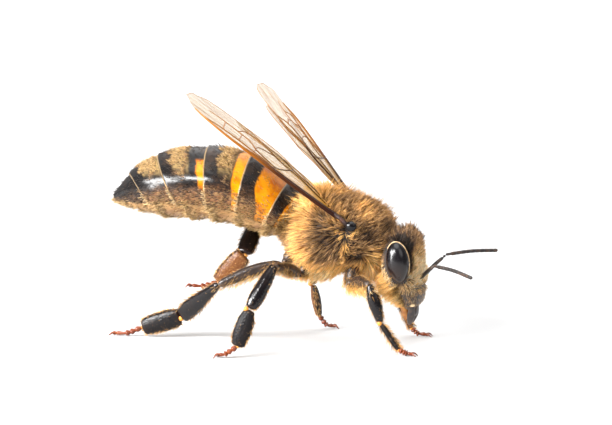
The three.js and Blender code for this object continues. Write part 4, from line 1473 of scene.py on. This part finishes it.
def belly_hair(k):
    """Short pale hair on the belly plate of ring k, thicker towards its rim."""
    outer, _, grid = plate_faces(k, BELLY_SIDE, 2 * math.pi - BELLY_SIDE, True, 0.02, 40, 100)
    roots = roots_on(skin_part(outer, grid), BELLY_HAIRS, lambda p, n, spot: 0.3 + step(spot[:, 1], 0.5, 0.9),
                     BELLY_SEED + k, (k, LAST_ROW))
    return comb(roots, roots["ahead"], 0.4, 0.34, 0.72, width=0.009, bend=0.5, stray=0.2, clump=0.3)


def abdomen_coat(material):
    hairs = merge(*(hair(k) for hair in (back_hair, belly_hair) for k in range(LAST_ROW)))
    y = hairs["point"][:, 1]
    add_coat_by_side("abdomen_hair", hairs, material, (("right", y < 0), ("left", y >= 0)))


def ball_distance(place, ball, swell=0.0):
    """How far places are from the middle of an eye or its socket, where its surface is 1."""
    local = from_middle(place, ball["place"])
    turned_x, turned_z = lean_over(local[:, 0], local[:, 2], -ball["lean"])
    rx, ry, rz = (reach + swell for reach in ball["reach"])
    return np.sqrt((turned_x / rx) ** 2 + (local[:, 1] / ry) ** 2 + (turned_z / rz) ** 2)


def inside_ball(place, ball, swell):
    return ball_distance(place, ball, swell) < 1


def head_hair(part):
    """Hair all over the head: dark by the eyes, brown on the crown and paler down the face."""

    def density(place, normal, _):
        y, z = place[:, 1], place[:, 2]
        ahead = normal[:, 0]
        bare = (1 - step(z, 2.3, 2.8)) * step(ahead, -0.55, -0.2)
        shield = step(ahead, 0.4, 0.7) * (1 - step(z, 2.5, 2.7)) * (1 - step(np.abs(y), 0.45, 0.7))
        nape = step(-ahead, 0.2, 0.5) * (1 - step(z, 3.6, 3.9))
        free = ~inside_ball(place, EYE, 0.03) & ~inside_ball(place, ORBIT, 0.0)
        few = (1 - 0.5 * bare) * (1 - 0.7 * shield) * (1 - 0.7 * nape) * (1 - 0.3 * step(z, 3.85, 4.3))
        return np.where(free, 1.0, 0.0) * few * step(z, 1.55, 1.8)

    roots = roots_on(part, HEAD_HAIRS, density, HEAD_SEED)
    _, y, z = roots["point"].T
    normal = roots["normal"]
    ahead = normal[:, 0]
    eye_x, eye_y, eye_z = EYE["place"]
    from_eye = roots["point"] - np.stack([eye_x + 0 * y, np.sign(y) * eye_y, eye_z + 0 * y], -1)
    reach = ball_distance(roots["point"], EYE)
    crown = step(z, 3.85, 4.3)
    by_eye = (1 - step(reach - 0.4 * crown, 1.15, 1.5)) * step(z, 2.9, 3.4)
    cheek = (1 - step(reach, 1.5, 1.9)) * (1 - step(z, 2.8, 3.1))
    face = step(ahead, 0.1, 0.5) * (1 - crown)
    back = step(-ahead, 0.0, 0.5) * (1 - crown)
    lower = 1 - step(z, 2.2, 2.9)
    dusk = step(z, 3.2, 4.0)
    lie = crown[:, None] * (np.array([0.1, 0, 1.0]) + 0.3 * normal * (1, 1, 0))
    lie = toward(lie, (face * (1 - lower), (0.2, 0, 0.8)), (lower, (0.1, 0, -1.0)), (back, (-1.0, 0, -0.8)))
    lie = lie + 0.01
    lie = lie * (1 - cheek)[:, None] + cheek[:, None] * unit(from_eye)
    length = blend(0.26, (crown, 0.5 - 0.22 * step(ahead, 0.0, 0.7)), (face, 0.34), (back, 0.34),
                   (lower, 0.17), (by_eye, 0.2 + 0.18 * crown), (cheek, 0.24))
    stand = blend(0.5, (crown, 0.8), (face, 0.62), (back, 0.35), (lower, 0.3), (cheek, 0.3))
    hue = blend(0.5, (crown, 0.4), (face, 0.88 - 0.3 * dusk), (back, 0.66), (lower, 0.5), (by_eye, 0.08),
                (cheek, 0.66))
    hue = hue + (clouds(roots["point"], 0.4, 6) - 0.5) * 0.14
    hue = hue + roots["rng"].normal(size=len(y)) * (0.08 + 0.08 * face)
    hairs = comb(roots, lie, stand, length, hue, width=0.007, bend=0.35, stray=0.2, clump=0.12)
    hairs["width"] = hairs["width"] * (1 + 0.5 * crown)
    hairs["clump"] = hairs["clump"] + 0.2 * crown + 0.15 * face * (1 - lower)
    return guard_hairs(hairs, roots["rng"], 1.15 + 0.45 * crown, 0.7)


def orbit_hair(side):
    """Short hair round an eye, with pale ones among the dark ones lower down."""

    def density(place, normal, _):
        free = ~inside_ball(place, EYE, 0.02) & ~inside_head(place)
        return np.where(free, 1.0, 0.0) * (1 + 2 * step(3.7 - place[:, 2], 0.0, 0.6))

    roots = roots_on(orbit_part(side), ORBIT_HAIRS, density, ORBIT_SEED + side)
    out = roots["point"] - on_side(EYE["place"], side) - (0, 0, 0.3)
    light = step(4.2 - roots["point"][:, 2], 0.0, 0.7)
    hue = 0.2 + light * roots["rng"].choice([0.1, 0.52, 0.7], len(out), p=[0.42, 0.3, 0.28])
    return comb(roots, 1.4 * unit(out) + (-0.2, 0, -0.4), 0.34, 0.2, hue, width=0.0075, bend=0.4, stray=0.1,
                clump=0.15)


def beard(part):
    """Long pale hair behind the mouth."""

    def density(place, normal, _):
        z = place[:, 2]
        return step(-normal[:, 0], 0.0, 0.4) * (1 - step(z, 2.8, 3.5)) * step(z, 1.65, 1.9)

    roots = roots_on(part, BEARD_HAIRS, density, BEARD_SEED)
    z = roots["point"][:, 2]
    hue = 0.84 - 0.3 * step(z, 2.7, 3.2) + (clouds(roots["point"], 0.4, 8) - 0.5) * 0.14
    length = 0.55 + 0.5 * step(z, 1.8, 2.8)
    hairs = comb(roots, (-1.0, 0, -0.45), 0.5, length, hue, width=0.0105, bend=0.3, stray=0.14, clump=0.45)
    return undercoat(hairs, 0.4, 0.7, 0.04)


def head_coat(fine, coarse):
    part = tube_parts(HEAD_HULL.rings(130, 170))
    add_coat("head_hair", merge(head_hair(part), orbit_hair(RIGHT), orbit_hair(LEFT)), fine)
    add_coat("beard_hair", beard(part), coarse)


def speck(roots, much):
    """Small light and dark spots, as changes of shade."""
    return (clouds(roots["point"], 0.11, 9) - 0.5) * much


def edge_of(spot):
    """Near the two edges of a leg's flat."""
    return step(np.abs(np.sin(2 * math.pi * spot[:, 0])), 0.75, 0.97)


def inner_of(spot):
    """On the side of a leg's flat that faces the body."""
    return step(-np.cos(2 * math.pi * spot[:, 0]), 0.2, 0.6)


def thigh_hair(part, kind, seed, cell):
    """Loose hair of the upper leg, longest on its underside."""
    front = kind == "front"
    roots = roots_on(part, THIGH_HAIRS[kind],
                     lambda p, normal, m: 0.35 + 0.35 * front + step(-normal[:, 2], -0.2, 0.6), seed, cell)
    below = step(-roots["normal"][:, 2], -0.2, 0.6)
    hue = 0.4 + 0.32 * below + speck(roots, 0.3)
    length = 0.2 + (0.5 if front else 0.3) * below
    return comb(roots, roots["ahead"] + (0, 0, -0.6), 0.42, length, hue, width=0.008, bend=0.2, clump=0.05)


def shin_hair(part, kind, seed, cell):
    """Short hair along the edges of the shin, and on the inner side of the furry ones."""
    furry = kind != "hind"
    roots = roots_on(part, SHIN_HAIRS[kind],
                     lambda p, n, spot: 0.1 + edge_of(spot) + furry * 1.5 * inner_of(spot), seed, cell)
    edge, inner = edge_of(roots["map"]), inner_of(roots["map"]) * furry
    hue = blend(0.25, (edge, 0.45), (inner, 0.44)) + speck(roots, 0.3)
    length = 0.12 + (0.06 if furry else 0.2) * edge
    return comb(roots, roots["ahead"], 0.2 + 0.25 * edge, length, hue, width=0.007, bend=0.3, clump=0.0)


def brush_hair(part, kind, seed, cell):
    """The brush of short hair that covers the first length of a foot."""
    roots = roots_on(part, BRUSH_HAIRS[kind],
                     lambda p, n, spot: 0.8 + 0.6 * edge_of(spot) + 2.0 * inner_of(spot), seed, cell)
    edge, inner = edge_of(roots["map"]), inner_of(roots["map"])
    hue = blend(0.18, (edge, 0.5), (inner, 0.42)) + speck(roots, 0.45)
    length = 0.09 + (0.2 if kind == "front" else 0.1) * edge
    return comb(roots, roots["ahead"], 0.22 + 0.25 * edge, length, hue, width=0.008, bend=0.3, clump=0.0)


LENGTH_HAIR = {"coxa": thigh_hair, "femur": thigh_hair, "tibia": shin_hair, "basitarsus": brush_hair}


def legs_coat(material):
    lengths = len(LENGTH_HAIR)
    for side, first_seed in LEG_SEEDS.items():
        sets = []
        for order, name in enumerate(name for name in LEGS if side in name):
            for number, (length, part) in enumerate(leg_lengths(name).items()):
                seed, cell = first_seed + 10 * order + number, (lengths * order + number, 3 * lengths)
                sets.append(LENGTH_HAIR[length](part, LEGS[name][0], seed, cell))
        add_coat(f"leg_hair_{side}", merge(*sets), material)


def build_coat():
    hair = coat_paint("hair", HAIR_SHADES)
    thorax_coat(hair)
    abdomen_coat(coat_paint("felt", FELT_SHADES))
    head_coat(coat_paint("head_hair", HEAD_SHADES, 0.26), hair)
    legs_coat(hair)


add_camera()
add_studio()
build_trunk()
build_legs()
build_head()
build_feelers()
build_wings()
build_coat()

view = bpy.context.scene.view_settings
view.view_transform, view.look = "Standard", "None"
